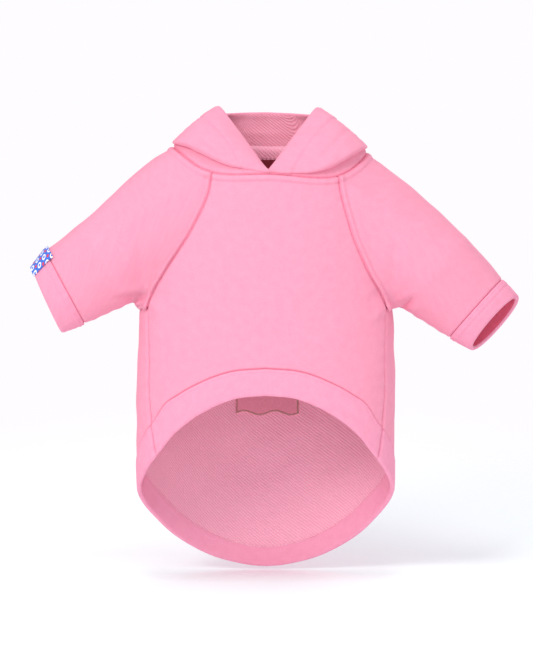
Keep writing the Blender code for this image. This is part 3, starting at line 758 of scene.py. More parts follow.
@dataclass
class Piece:
    """One cut piece of cloth with its seams, folds and walls."""

    name: str
    cloth: Cloth
    normals: np.ndarray
    seams: list[tuple[Seam, Profile]]
    folds: list[Fold]
    thickness: np.ndarray
    proud: float = 0.0
    lay: Lay = Lay.SEAM
    drape: float = 0.7
    seed: int = 1
    gap: float = 0.12
    swells: tuple[tuple[float, float], ...] = ((70.0, 0.75), (31.0, 0.35))
    ripple: tuple[float, float] = (13.0, 0.05)
    calm_start: float = 0.5
    calm_stop: float = 16.0
    edge_reach: float = 8.0
    drawn: np.ndarray = field(init=False)
    outer: np.ndarray = field(init=False)
    soft: np.ndarray = field(init=False)
    fields: list[np.ndarray] = field(init=False, default_factory=list)

    def __post_init__(self) -> None:
        """Shape the outside of the piece."""
        base = self.cloth.points
        height = np.zeros(base.shape[:2])
        nearest = np.full(base.shape[:2], 99.0)
        for seam, profile in self.seams:
            distance, along = seam.measure(base)
            self.fields.append(distance)
            nearest = np.minimum(nearest, distance)
            height += profile.height(distance, along)
        calm = self.drape * smooth_step(self.calm_start, self.calm_stop, nearest)
        for turn, (length, rise) in enumerate(self.swells):
            height += calm * rise * waves(base, length, self.seed + turn)
        length, rise = self.ripple
        height += (rise * waves(base, length, self.seed + len(self.swells))
                   * smooth_step(0.0, 5.0, nearest))
        for fold in self.folds:
            height += fold.height(base, self.normals) * smooth_step(-1.0, 3.0, nearest)
        self.drawn = self.pulled_in()
        self.outer = self.drawn + self.normals * (self.proud + height)[..., None]
        self.soft = smooth_step(0.0, 6.0, nearest) * height

    def pulled_in(self) -> np.ndarray:
        """The cloth's points, pulled in a little at each border."""
        grid = self.cloth.points.copy()
        source = self.cloth.points
        grid[0] += unit(source[1] - source[0]) * self.gap / 2.0
        if self.lay is Lay.SEAM:
            grid[-1] += unit(source[-2] - source[-1]) * self.gap / 2.0
        else:
            runs = self.cloth.runs(0)
            ahead = unit(source[-1] - source[-3])
            bend = self.thickness[-1] / 2.0
            near = smooth_step(0.0, 1.0, 1.0 - (runs[-1] - runs) / self.edge_reach)
            grid -= ahead * (bend * near)[..., None]
        if not self.cloth.closed:
            grid[:, 0] += unit(source[:, 1] - source[:, 0]) * self.gap / 2.0
            grid[:, -1] += unit(source[:, -2] - source[:, -1]) * self.gap / 2.0
        return grid

    def build(self) -> bpy.types.Object:
        """Make the closed wall of the piece."""
        inner = self.drawn + self.normals * (self.proud - self.thickness + self.soft)[..., None]
        middle = 0 if self.cloth.closed else self.outer.shape[1] // 2
        return cloth_wall(self.name, self.outer, inner, self.cloth, self.lay, middle)

    def flat_size(self) -> tuple[tuple[float, float], float]:
        """Width and length of the flat cloth in metres, and its area in square metres."""
        width, length = float(self.cloth.runs(1)[:, -1].max()), float(self.cloth.runs(0).max())
        if self.cloth.closed:
            width += float(np.linalg.norm(self.cloth.points[:, -1] - self.cloth.points[:, 0],
                                          axis=1).max())
        return (width * MM, length * MM), self.cloth.area() * MM * MM

    def stitch_line(self, level: float, which: int) -> tuple[np.ndarray, np.ndarray]:
        """The line at a distance from one of the seams, read along the columns.

        Args:
            level: distance from the seam in millimetres.
            which: number of the seam in the list.

        Returns:
            Points on the outside of the cloth, and the outward directions there.
        """
        distance = self.fields[which]
        if distance[0].mean() > distance[-1].mean():
            distance, outer, normals = distance[::-1], self.outer[::-1], self.normals[::-1]
        else:
            outer, normals = self.outer, self.normals
        beyond = distance >= level
        after = np.maximum(beyond.argmax(axis=0), 1)
        column = np.arange(distance.shape[1])
        low, high = distance[after - 1, column], distance[after, column]
        t = np.clip((level - low) / np.maximum(high - low, 1e-6), 0.0, 1.0)[:, None]
        points = outer[after - 1, column] * (1.0 - t) + outer[after, column] * t
        keep = beyond.any(axis=0) & (distance[0] < level)
        return points[keep], unit(normals[after, column])[keep]


def linear(code: str) -> tuple[float, float, float, float]:
    """Turn an sRGB hex code into linear red, green, blue and alpha."""
    parts = [int(code[place:place + 2], 16) / 255.0 for place in (1, 3, 5)]
    shades = [part / 12.92 if part <= 0.04045 else ((part + 0.055) / 1.055) ** 2.4
              for part in parts]
    return (*shades, 1.0)


class Recipe:
    """A material put together node by node."""

    def __init__(self, name: str) -> None:
        """Start an empty material."""
        self.material = bpy.data.materials.new(name)
        self.material.use_nodes = True
        self.tree = self.material.node_tree
        self.tree.nodes.clear()

    def add(self, kind: str, *values, named: dict | None = None, take: int | str = 0,
            **settings) -> bpy.types.NodeSocket | None:
        """Add a node with its settings, values and links.

        Args:
            kind: the node's type, without its first words.
            values: a value or a socket for each input in turn.
            named: values or sockets for inputs by name or number.
            take: the output to give back.
            settings: properties of the node.

        Returns:
            That output of the new node, if it has any.
        """
        node = self.tree.nodes.new("ShaderNode" + kind)
        for key, value in settings.items():
            setattr(node, key, value)
        for key, value in [*enumerate(values), *(named or {}).items()]:
            if isinstance(value, bpy.types.NodeSocket):
                self.tree.links.new(value, node.inputs[key])
            else:
                node.inputs[key].default_value = value
        return node.outputs[take] if node.outputs else None

    def cloth_place(self) -> bpy.types.NodeSocket:
        """Places on the flat cloth in millimetres."""
        place = self.add("UVMap", uv_map="cloth")
        return self.add("VectorMath", place, (1000.0, 1000.0, 1000.0), operation="MULTIPLY")


@dataclass(frozen=True)
class Fabric:
    """What the cloths share: two shades mixed by a tone, a relief, roughness and sheen.

    Lengths are in millimetres, and the index of refraction is that of cotton and polyester.
    """

    name: str
    colour: str
    shade: str
    pitch: float = 0.55
    depth: float = 0.08
    relief: float = 0.6
    tones: tuple[float, float] = (0.1, 0.9)
    roughness: float = 0.75
    gloss: float = 0.3
    sheen: float = 0.1
    sheen_roughness: float = 0.5
    bloom: bool = False
    fibre_ior: float = 1.46

    def pattern(self, recipe: Recipe) -> tuple[bpy.types.NodeSocket, bpy.types.NodeSocket]:
        """Draw the cloth's own pattern; give its height and its tone."""
        raise NotImplementedError

    def make(self) -> bpy.types.Material:
        """Build the material."""
        recipe = Recipe(self.name)
        height, tone = self.pattern(recipe)
        bump = recipe.add("Bump", named={"Height": height, "Strength": self.relief,
                                         "Distance": self.depth * MM})
        low, high = self.tones
        level = recipe.add("MapRange", named={"Value": tone, "From Min": low, "From Max": high})
        colour = recipe.add("Mix", take=2, data_type="RGBA", named={
            0: level, 6: linear(self.shade), 7: linear(self.colour)})
        shader = recipe.add("BsdfPrincipled", named={
            "Base Color": colour, "Roughness": self.roughness, "IOR": self.fibre_ior,
            "Specular IOR Level": self.gloss, "Sheen Weight": self.sheen,
            "Sheen Roughness": self.sheen_roughness,
            "Sheen Tint": linear(self.colour if self.bloom else "#ffffff"), "Normal": bump})
        recipe.add("OutputMaterial", shader)
        return recipe.material


@dataclass(frozen=True)
class KnitFace(Fabric):
    """The smooth face of a jersey knit: rows of small V-shaped stitches with a short nap.

    The stitches have their real size, about 0.95 mm, and the nap is drawn a little coarser
    than real fibre so that it shows.
    """

    pitch: float = 0.95
    course: float = 0.85
    depth: float = 0.16
    relief: float = 0.75
    tones: tuple[float, float] = (0.25, 0.85)
    roughness: float = 0.88
    gloss: float = 0.25
    sheen: float = 0.35
    sheen_roughness: float = 0.45
    bloom: bool = True
    mottle: float = 7.0

    def pattern(self, recipe: Recipe) -> tuple[bpy.types.NodeSocket, bpy.types.NodeSocket]:
        """Draw stitches about 0.9 mm wide under a nap, with a faint mottle."""
        place = recipe.cloth_place()
        nap = recipe.add("TexNoise", named={"Vector": place, "Scale": 0.85, "Detail": 4.0,
                                            "Roughness": 0.65})
        wobble = recipe.add("TexNoise", named={"Vector": place, "Scale": 0.35, "Detail": 2.0})
        cloud = recipe.add("TexNoise", named={"Vector": place, "Scale": 1.0 / self.mottle,
                                              "Detail": 3.0, "Roughness": 0.6})
        across = recipe.add("SeparateXYZ", place)
        across = recipe.add("Math", wobble, 0.5, across, operation="MULTIPLY_ADD")
        leg = recipe.add("Math", across, self.pitch / 2.0, operation="PINGPONG")
        down = recipe.add("SeparateXYZ", place, take=1)
        course = recipe.add("Math", down, self.course, operation="DIVIDE")
        climb = recipe.add("Math", leg, 1.3 / self.pitch, course, operation="MULTIPLY_ADD")
        loop = recipe.add("Math", climb, TURN, operation="MULTIPLY")
        loop = recipe.add("Math", loop, operation="SINE")
        valley = recipe.add("Math", across, TURN / self.pitch, operation="MULTIPLY")
        valley = recipe.add("Math", valley, operation="COSINE")
        valley = recipe.add("Math", valley, -0.20, operation="MULTIPLY")
        knit = recipe.add("Math", loop, 0.22, valley, operation="MULTIPLY_ADD")
        height = recipe.add("Math", nap, 1.9, knit, operation="MULTIPLY_ADD")
        tone = recipe.add("Math", knit, 0.30, operation="MULTIPLY")
        tone = recipe.add("Math", nap, 0.55, tone, operation="MULTIPLY_ADD")
        return height, recipe.add("Math", cloud, 0.38, tone, operation="MULTIPLY_ADD")


@dataclass(frozen=True)
class LoopedTerry(Fabric):
    """The looped back of French terry: slanted rows of loops about 2 mm apart."""

    pitch: float = 2.0
    loop: float = 1.5
    slant: float = 38.0
    depth: float = 0.4
    relief: float = 0.85
    tones: tuple[float, float] = (0.0, 0.9)
    roughness: float = 0.92
    gloss: float = 0.2
    sheen: float = 0.25
    bloom: bool = True

    def pattern(self, recipe: Recipe) -> tuple[bpy.types.NodeSocket, bpy.types.NodeSocket]:
        """Draw rows of loops, each row set half a loop on from the last, with loose fuzz."""
        place = recipe.cloth_place()
        turned = recipe.add("VectorRotate", named={"Vector": place, "Axis": (0.0, 0.0, 1.0),
                                                   "Angle": math.radians(self.slant)})
        wander = recipe.add("TexNoise", named={"Vector": place, "Scale": 0.16, "Detail": 2.0})
        fuzz = recipe.add("TexNoise", named={"Vector": place, "Scale": 1.3, "Detail": 4.0,
                                             "Roughness": 0.7})
        down = recipe.add("SeparateXYZ", turned, take=1)
        down = recipe.add("Math", wander, 0.9, down, operation="MULTIPLY_ADD")
        row = recipe.add("Math", down, TURN / self.pitch, operation="MULTIPLY")
        row = recipe.add("Math", row, operation="COSINE")
        number = recipe.add("Math", down, self.pitch, operation="DIVIDE")
        number = recipe.add("Math", number, operation="FLOOR")
        along = recipe.add("SeparateXYZ", turned)
        along = recipe.add("Math", along, self.loop, operation="DIVIDE")
        along = recipe.add("Math", number, 0.47, along, operation="MULTIPLY_ADD")
        curl = recipe.add("Math", along, TURN, operation="MULTIPLY")
        curl = recipe.add("Math", curl, operation="COSINE")
        curl = recipe.add("Math", curl, 0.10, operation="MULTIPLY")
        bead = recipe.add("Math", row, 0.36, curl, operation="MULTIPLY_ADD")
        height = recipe.add("Math", fuzz, 0.9, bead, operation="MULTIPLY_ADD")
        tone = recipe.add("Math", bead, 0.7, operation="MULTIPLY")
        return height, recipe.add("Math", fuzz, 0.9, tone, operation="MULTIPLY_ADD")


@dataclass(frozen=True)
class PlainWeave(Fabric):
    """A thin woven cloth or thread: crossing yarns, drawn coarser than real so that they show."""

    def pattern(self, recipe: Recipe) -> tuple[bpy.types.NodeSocket, bpy.types.NodeSocket]:
        """Draw crossing yarns with a little grain."""
        place = recipe.add("TexCoord", take="Object")
        place = recipe.add("VectorMath", place, (1000.0, 1000.0, 1000.0), operation="MULTIPLY")
        yarns = []
        for axis in (0, 2):
            yarn = recipe.add("SeparateXYZ", place, take=axis)
            yarn = recipe.add("Math", yarn, TURN / self.pitch, operation="MULTIPLY")
            yarns.append(recipe.add("Math", yarn, operation="SINE"))
        crossing = recipe.add("Math", *yarns, operation="MULTIPLY")
        grain = recipe.add("TexNoise", named={"Vector": place, "Scale": 1.1, "Detail": 3.0})
        height = recipe.add("Math", crossing, 0.4, grain, operation="MULTIPLY_ADD")
        return height, height


@dataclass(frozen=True)
class SatinLabel:
    """A woven satin label with rings, dots and a dark border, in millimetres."""

    name: str = "blue_woven_satin_label"
    ground: str = "#2f6fd8"
    light: str = "#f4f1f4"
    warm: str = "#d8354a"
    border: str = "#7c2036"
    pitch: float = 6.5
    ring: tuple[float, float] = (1.0, 2.1)
    dot: float = 1.2
    edge: float = 1.1
    weft: float = 0.4
    depth: float = 0.05
    relief: float = 0.4
    roughness: float = 0.45

    def spots(self, recipe: Recipe, shift: float, low: float,
              high: float) -> bpy.types.NodeSocket:
        """A mask of spots or rings that repeat at the pitch.

        Args:
            recipe: the material.
            shift: how far the spots are moved across and down.
            low: inner radius.
            high: outer radius.

        Returns:
            1 on the spots and 0 beside them.
        """
        flat = recipe.add("VectorMath", recipe.cloth_place(), (1.0, 1.0, 0.0),
                          operation="MULTIPLY")
        squares = []
        for axis in (0, 1):
            place = recipe.add("SeparateXYZ", flat, take=axis)
            place = recipe.add("Math", place, shift, operation="ADD")
            place = recipe.add("Math", place, self.pitch / 2.0, operation="PINGPONG")
            squares.append(recipe.add("Math", place, place, operation="MULTIPLY"))
        far = recipe.add("Math", *squares, operation="ADD")
        far = recipe.add("Math", far, operation="SQRT")
        outside = recipe.add("Math", far, low, operation="GREATER_THAN")
        inside = recipe.add("Math", far, high, operation="LESS_THAN")
        return recipe.add("Math", outside, inside, operation="MULTIPLY")

    def make(self) -> bpy.types.Material:
        """Build the material."""
        recipe = Recipe(self.name)
        across = recipe.add("SeparateXYZ", recipe.cloth_place())
        down = recipe.add("SeparateXYZ", recipe.cloth_place(), take=1)
        colour = linear(self.ground)
        for mask, over in ((self.spots(recipe, 0.0, *self.ring), self.light),
                           (self.spots(recipe, self.pitch / 2.0, -1.0, self.dot), self.warm),
                           (recipe.add("Math", across, self.edge, operation="LESS_THAN"),
                            self.border)):
            colour = recipe.add("Mix", take=2, data_type="RGBA",
                                named={0: mask, 6: colour, 7: linear(over)})
        weft = recipe.add("Math", down, TURN / self.weft, operation="MULTIPLY")
        weft = recipe.add("Math", weft, operation="SINE")
        bump = recipe.add("Bump", named={"Height": weft, "Strength": self.relief,
                                         "Distance": self.depth * MM})
        shader = recipe.add("BsdfPrincipled", named={
            "Base Color": colour, "Roughness": self.roughness, "IOR": 1.5, "Normal": bump})
        recipe.add("OutputMaterial", shader)
        return recipe.material


@dataclass
class Garment:
    """Samples every piece of the hoodie and gives each its seams."""

    body: Body
    left: Sleeve
    right: Sleeve
    hood: Hood
    cuts: Cuts
    cloth: float = 2.2
    hem_cloth: float = 3.8
    hem_proud: float = 0.9
    hood_hem_cloth: float = 3.0
    slim_height: float = 22.0
    thinnest: float = 0.45
    even_passes: int = 14
    body_drape: float = 0.8
    hood_drape: float = 0.7
    band_drape: float = 0.25
    hood_seed: int = 90

    def __post_init__(self) -> None:
        """Sample the skin of every piece, with the directions that neighbours share."""
        body, cuts = self.body, self.cuts
        down = cuts.down(body.armpit_row)
        self.front_places = body.panel_places(False, down, cuts.across(cuts.front))
        self.back_places = body.panel_places(True, down, cuts.across(cuts.back))
        self.grids = {
            "front_panel": Cloth(body.point(*self.front_places), False),
            "back_panel": Cloth(body.point(*self.back_places), False),
            "hem_front": Cloth(body.point(*self.band(self.front_places, False)), False),
            "hem_back": Cloth(body.point(*self.band(self.back_places, True)), False),
            "sleeve_left": Cloth(self.left.grid(body, cuts), True),
            "sleeve_right": Cloth(self.right.grid(body, cuts), True),
            "cuff_left": Cloth(self.left.cuff(body, cuts), True),
            "cuff_right": Cloth(self.right.cuff(body, cuts), True),
            "hood": Cloth(self.hood.grid(body, cuts), False)}
        self.normals = shared_normals(self.grids, self.even_passes)
        self.first = cuts.front // 2 + round(cuts.neck * self.hood.seam_share)
        self.last = self.grids["hood"].points.shape[1] - 1 - self.first

    def band(self, places: tuple[np.ndarray, np.ndarray],
             behind: bool) -> tuple[np.ndarray, np.ndarray]:
        """Angles and drops of a hem band below a panel; its side seams lean forwards."""
        angle, drop = places[0][-1], places[1][-1]
        share = uneven(self.cuts.band, self.cuts.crowd, False)[:, None]
        border = np.where(angle < 0.0, self.body.armpit_angle(Side.LEFT),
                          self.body.armpit_angle(Side.RIGHT)) * self.body.side_seam(1.0)
        reach = np.abs(angle) / border
        if behind:
            reach = (180.0 - np.abs(angle)) / (180.0 - border)
        leant = angle - np.sign(angle) * self.body.band_lean * share * reach ** 3
        return leant, drop * (1.0 - share) + self.body.edge_drop(leant) * share

    def seams(self) -> dict[str, Seam]:
        """The seams between the pieces."""
        grid = {name: cloth.points for name, cloth in self.grids.items()}
        top = self.cuts.raglan
        seams = {"neck": Seam(grid["hood"][0]), "rim": Seam(grid["hood"][-1]),
                 "belly_band": Seam(grid["hem_front"][0]), "back_band": Seam(grid["hem_back"][0])}
        for side, near, far, column in (("left", 0, -1, self.first), ("right", -1, 0, self.last)):
            seams[f"front_raglan_{side}"] = Seam(grid["front_panel"][:top + 1, near])
            seams[f"back_raglan_{side}"] = Seam(grid["back_panel"][:top + 1, far])
            seams[f"side_{side}"] = Seam(grid["front_panel"][top:, near])
            seams[f"band_side_{side}"] = Seam(grid["hem_front"][:, near])
            seams[f"cuff_{side}"] = Seam(grid[f"cuff_{side}"][0], True)
            seams[f"underarm_{side}"] = Seam(grid[f"sleeve_{side}"][:, far])
            seams[f"hood_seam_{side}"] = Seam(grid["hood"][:, column])
        return seams

    def hood_thickness(self) -> np.ndarray:
        """Wall thickness over the hood: doubled at the rim, slim where the hood is low."""
        runs = self.grids["hood"].runs(0)
        from_rim = runs[-1] - runs
        blend = np.clip((self.hood.hem - from_rim) / 1.2 + 1.0, 0.0, 1.0)
        line = 0.3 * np.exp(-((from_rim - self.hood.hem + 0.8) / 0.8) ** 2)
        slim = np.clip(runs[-1] / self.slim_height, self.thinnest, 1.0)
        return (self.cloth + (self.hood_hem_cloth - self.cloth) * blend - line) * slim

    def pieces(self, folds: dict[str, list[Fold]]) -> dict[str, Piece]:
        """Shape every piece."""
        seams = self.seams()
        plain = Profile()
        ridged = Profile(ridge=1.2, ridge_width=5.0, stitch_lines=(5.3,), dent=0.75,
                         thread="neck_topstitch", thread_inset=0.1)
        raglan = Profile(ridge=1.1, ridge_width=4.0, stitch_lines=(4.3,), dent=0.75,
                         thread="raglan_topstitch")
        joined = Profile(groove=1.5, groove_width=1.1, pucker=0.25, pucker_length=11.0)
        banded = Profile(groove=0.55, groove_width=0.8, stitch_lines=(2.4,), pucker=0.10,
                         thread="band_topstitch")
        cuffed = Profile(groove=1.2, stitch_lines=(2.0, 5.4), dent=0.6, pucker=0.12,
                         thread="cuff_topstitch")
        hemmed = Profile(groove=0.0, ridge=0.55, ridge_width=self.hood.hem, dent=0.7, pucker=0.05,
                         stitch_lines=(self.hood.hem + 0.3,), thread="rim_topstitch",
                         thread_inset=0.1)
        taped = Profile(groove=0.7, ridge=0.3, stitch_lines=(3.6,), ridge_width=3.8)
        bands = (("front", "belly_band"), ("back", "back_band"))
        layout = {f"{part}_panel": [("neck", ridged), (band, plain)]
                  + [(f"{part}_raglan_{side}", plain) for side in SIDES]
                  + [(f"side_{side}", joined) for side in SIDES] for part, band in bands}
        layout |= {f"hem_{part}": [(band, banded)]
                   + [(f"band_side_{side}", joined) for side in SIDES] for part, band in bands}
        layout |= {f"sleeve_{side}": [("neck", ridged), (f"front_raglan_{side}", raglan),
                                      (f"back_raglan_{side}", raglan), (f"cuff_{side}", plain),
                                      (f"underarm_{side}", joined)] for side in SIDES}
        layout |= {f"cuff_{side}": [(f"cuff_{side}", cuffed)] for side in SIDES}
        made = {}
        for seed, (name, parts) in enumerate(layout.items()):
            trim = name.startswith(("hem", "cuff"))
            cloth = self.grids[name]
            made[name] = Piece(
                name, cloth, self.normals[name],
                [(seams[seam], profile) for seam, profile in parts], folds.get(name, []),
                np.full(cloth.points.shape[:2], self.hem_cloth if trim else self.cloth),
                self.hem_proud if trim else 0.0,
                Lay.FOLDED_EDGE if trim else Lay.SEAM,
                self.band_drape if trim else self.body_drape, 10 * seed + 3)
        whole, thickness = self.grids["hood"], self.hood_thickness()
        bounds = (("hood_left", 0, self.first, ("hood_seam_left",)),
                  ("hood_centre", self.first, self.last, ("hood_seam_left", "hood_seam_right")),
                  ("hood_right", self.last, whole.points.shape[1] - 1, ("hood_seam_right",)))
        for name, start, stop, joins in bounds:
            part = slice(start, stop + 1)
            parts = [(seams["neck"], plain), (seams["rim"], hemmed)]
            parts += [(seams[join], taped if name == "hood_centre" else plain) for join in joins]
            made[name] = Piece(
                name, Cloth(whole.points[:, part], False), self.normals["hood"][:, part],
                parts, folds.get(name, []), thickness[:, part], 0.0, Lay.FOLDED_EDGE,
                self.hood_drape, self.hood_seed)
        return made


@dataclass
class Threads:
    """Machine stitches: short rounded lengths of thread laid on the cloth."""

    length: float = 2.3
    gap: float = 0.75
    radius: float = 0.26
    sides: int = 6
    start: float = 0.4
    slant: float = 0.4
    places: tuple[float, ...] = (0.0, 0.12, 0.5, 0.88, 1.0)
    rises: tuple[float, ...] = (-0.9, -0.1, 0.25, -0.1, -0.9)
    sizes: tuple[float, ...] = (0.15, 0.8, 1.0, 0.8, 0.15)
    flatness: float = 0.8

    def along(self, points: np.ndarray, normals: np.ndarray) -> tuple[np.ndarray, ...]:
        """Divide a line on the cloth into stitches; give their starts, ends and normals."""
        runs = runs_of(points)
        start = np.arange(self.start, runs[-1] - self.length, self.length + self.gap)
        return (read_line(start, runs, points), read_line(start + self.length, runs, points),
                read_line(start + self.length / 2.0, runs, normals))

    def across(self, points: np.ndarray, normals: np.ndarray, inwards: np.ndarray,
               width: float, pitch: float) -> tuple[np.ndarray, ...]:
        """Divide a border into slanted stitches that reach inwards over it."""
        runs = runs_of(points)
        at = np.arange(0.0, runs[-1], pitch)
        place, normal, inner = (read_line(at, runs, grid) for grid in (points, normals, inwards))
        drift = np.roll(place, -1, axis=0) - place
        drift[-1] = drift[-2]
        return place, place + unit(inner) * width + drift * self.slant, normal

    def sew(self, name: str, stitches: list[tuple[np.ndarray, ...]],
            finish: bpy.types.Material) -> bpy.types.Object:
        """Make one object of rounded stitches.

        Args:
            name: the new object's name.
            stitches: starts, ends and outward directions in millimetres.
            finish: the thread's material.

        Returns:
            The new object.
        """
        start, end, up = (np.concatenate(group) for group in zip(*stitches))
        up = unit(up)
        across = unit(np.cross(up, unit(end - start)))
        share = np.array(self.places)[None, :, None]
        sink = np.array(self.rises)[None, :, None] * self.radius
        size = np.array(self.sizes)[None, :, None, None] * self.radius
        path = start[:, None] * (1.0 - share) + end[:, None] * share + up[:, None] * sink
        turn = (np.arange(self.sides) * TURN / self.sides)[None, None, :, None]
        ring = across[:, None, None] * np.cos(turn) + up[:, None, None] * np.sin(turn) * self.flatness
        verts = (path[:, :, None] + ring * size).reshape(-1, 3)
        j = np.arange(self.sides)
        k = (j + 1) % self.sides
        last = len(self.places) - 1
        one = [tuple(quad) for i in range(last)
               for quad in zip(i * self.sides + j, i * self.sides + k,
                               (i + 1) * self.sides + k, (i + 1) * self.sides + j)]
        caps = [tuple(j[::-1]), tuple(last * self.sides + j)]
        step = len(self.places) * self.sides
        faces = [tuple(int(place) + number * step for place in face)
                 for number in range(len(start)) for face in one + caps]
        mesh = bpy.data.meshes.new(name)
        mesh.from_pydata((verts * MM).tolist(), [], faces)
        mesh.materials.append(finish)
        mesh.shade_smooth()
        thing = bpy.data.objects.new(name, mesh)
        bpy.context.scene.collection.objects.link(thing)
        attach(thing, BODY_NAME)
        return thing


@dataclass(frozen=True)
class Trims:
    """The patch inside the back, a dark red sheet at the neck that stands in for the deep shade
    there, and the label folded over the cuff.
    """

    patch_width: float = 50.0
    patch_height: float = 60.0
    patch_edge_drop: float = 194.0
    patch_shift: float = -2.0
    patch_wave: float = 1.6
    patch_cloth: float = 1.0
    neck_width: float = 34.0
    neck_height: float = 20.0
    label_cloth: float = 0.8
    label_gap: float = 0.35
    label_overlap: float = 4.2
    trim_gap: float = 0.9
    label_start: float = 0.125
    label_stop: float = 0.875
    overlock_width: float = 1.6
    overlock_pitch: float = 0.75

    def back_angle(self, body: Body, across: np.ndarray, drop: np.ndarray) -> np.ndarray:
        """The angle at which the back of the body lies at a place across it."""
        grown = body.grown(drop)
        half = (body.neck_width + (body.chest_width - body.neck_width) * grown) / 2.0
        share = (across - body.shift * grown) / half
        return 180.0 - np.degrees(np.arcsin(signed_power(share, 1.0 / body.roundness)))

    def inside_back(self, name: str, garment: Garment, angle: np.ndarray, drop: np.ndarray,
                    thickness: float) -> tuple[bpy.types.Object, np.ndarray, np.ndarray]:
        """Lay a thin piece just inside the back panel; also give its face and directions."""
        normals = garment.body.normal(angle, drop)
        near = garment.body.point(angle, drop) - normals * (garment.cloth + self.trim_gap)
        face = near - normals * thickness
        thing = cloth_wall(name, near, face, Cloth(near, False), Lay.SEAM)
        return thing, face, -normals

    def patch(self, garment: Garment) -> tuple[bpy.types.Object, np.ndarray, np.ndarray]:
        """The patch with a waved lower edge."""
        down = np.linspace(0.0, 1.0, 41)[:, None]
        across = np.linspace(-0.5, 0.5, 51)[None]
        wave = self.patch_wave * np.sin(4.0 * math.pi * across) * down
        drop = self.patch_edge_drop - self.patch_height * (1.0 - down) + wave
        angle = self.back_angle(garment.body, self.patch_shift - across * self.patch_width, drop)
        return self.inside_back("inner_patch", garment, angle, drop, self.patch_cloth)

    def neck_label(self, garment: Garment) -> tuple[bpy.types.Object, np.ndarray, np.ndarray]:
        """A plain dark red sheet inside the back of the neck: painted shade where the inside of the
        neck lies in deep shadow.
        """
        down = np.linspace(0.0, 1.0, 13)[:, None]
        across = np.linspace(-0.5, 0.5, 25)[None]
        top = float(garment.body.neck_drop(np.array(180.0))) + self.trim_gap
        drop = top + self.neck_height * down + across * 0.0
        angle = self.back_angle(garment.body, -across * self.neck_width, drop)
        return self.inside_back("neck_label", garment, angle, drop, self.label_cloth)

    def cuff_label(self, garment: Garment) -> tuple[bpy.types.Object, np.ndarray, np.ndarray]:
        """The label folded over the top of the -X cuff."""
        cuts = garment.cuts
        sleeve, cuff = garment.grids["sleeve_left"].points, garment.grids["cuff_left"].points
        first = cuts.raglan + round(self.label_start * cuts.neck)
        last = cuts.raglan + round(self.label_stop * cuts.neck)
        columns = slice(cuff.shape[1] - 1 - last, cuff.shape[1] - first)
        rise = unit(sleeve[-4] - sleeve[-1]) * self.label_overlap
        above = [sleeve[-1] + rise * share for share in (1.0, 0.66, 0.33)]
        grid = np.concatenate([np.array(above), cuff])[:, columns]
        ways = garment.normals["cuff_left"]
        ways = np.concatenate([np.repeat(ways[:1], 3, axis=0), ways])[:, columns]
        under = grid + ways * (garment.hem_proud + self.label_gap)
        top = under + ways * self.label_cloth
        thing = cloth_wall("cuff_label", top, under, Cloth(under, False), Lay.SEAM)
        return thing, top, ways


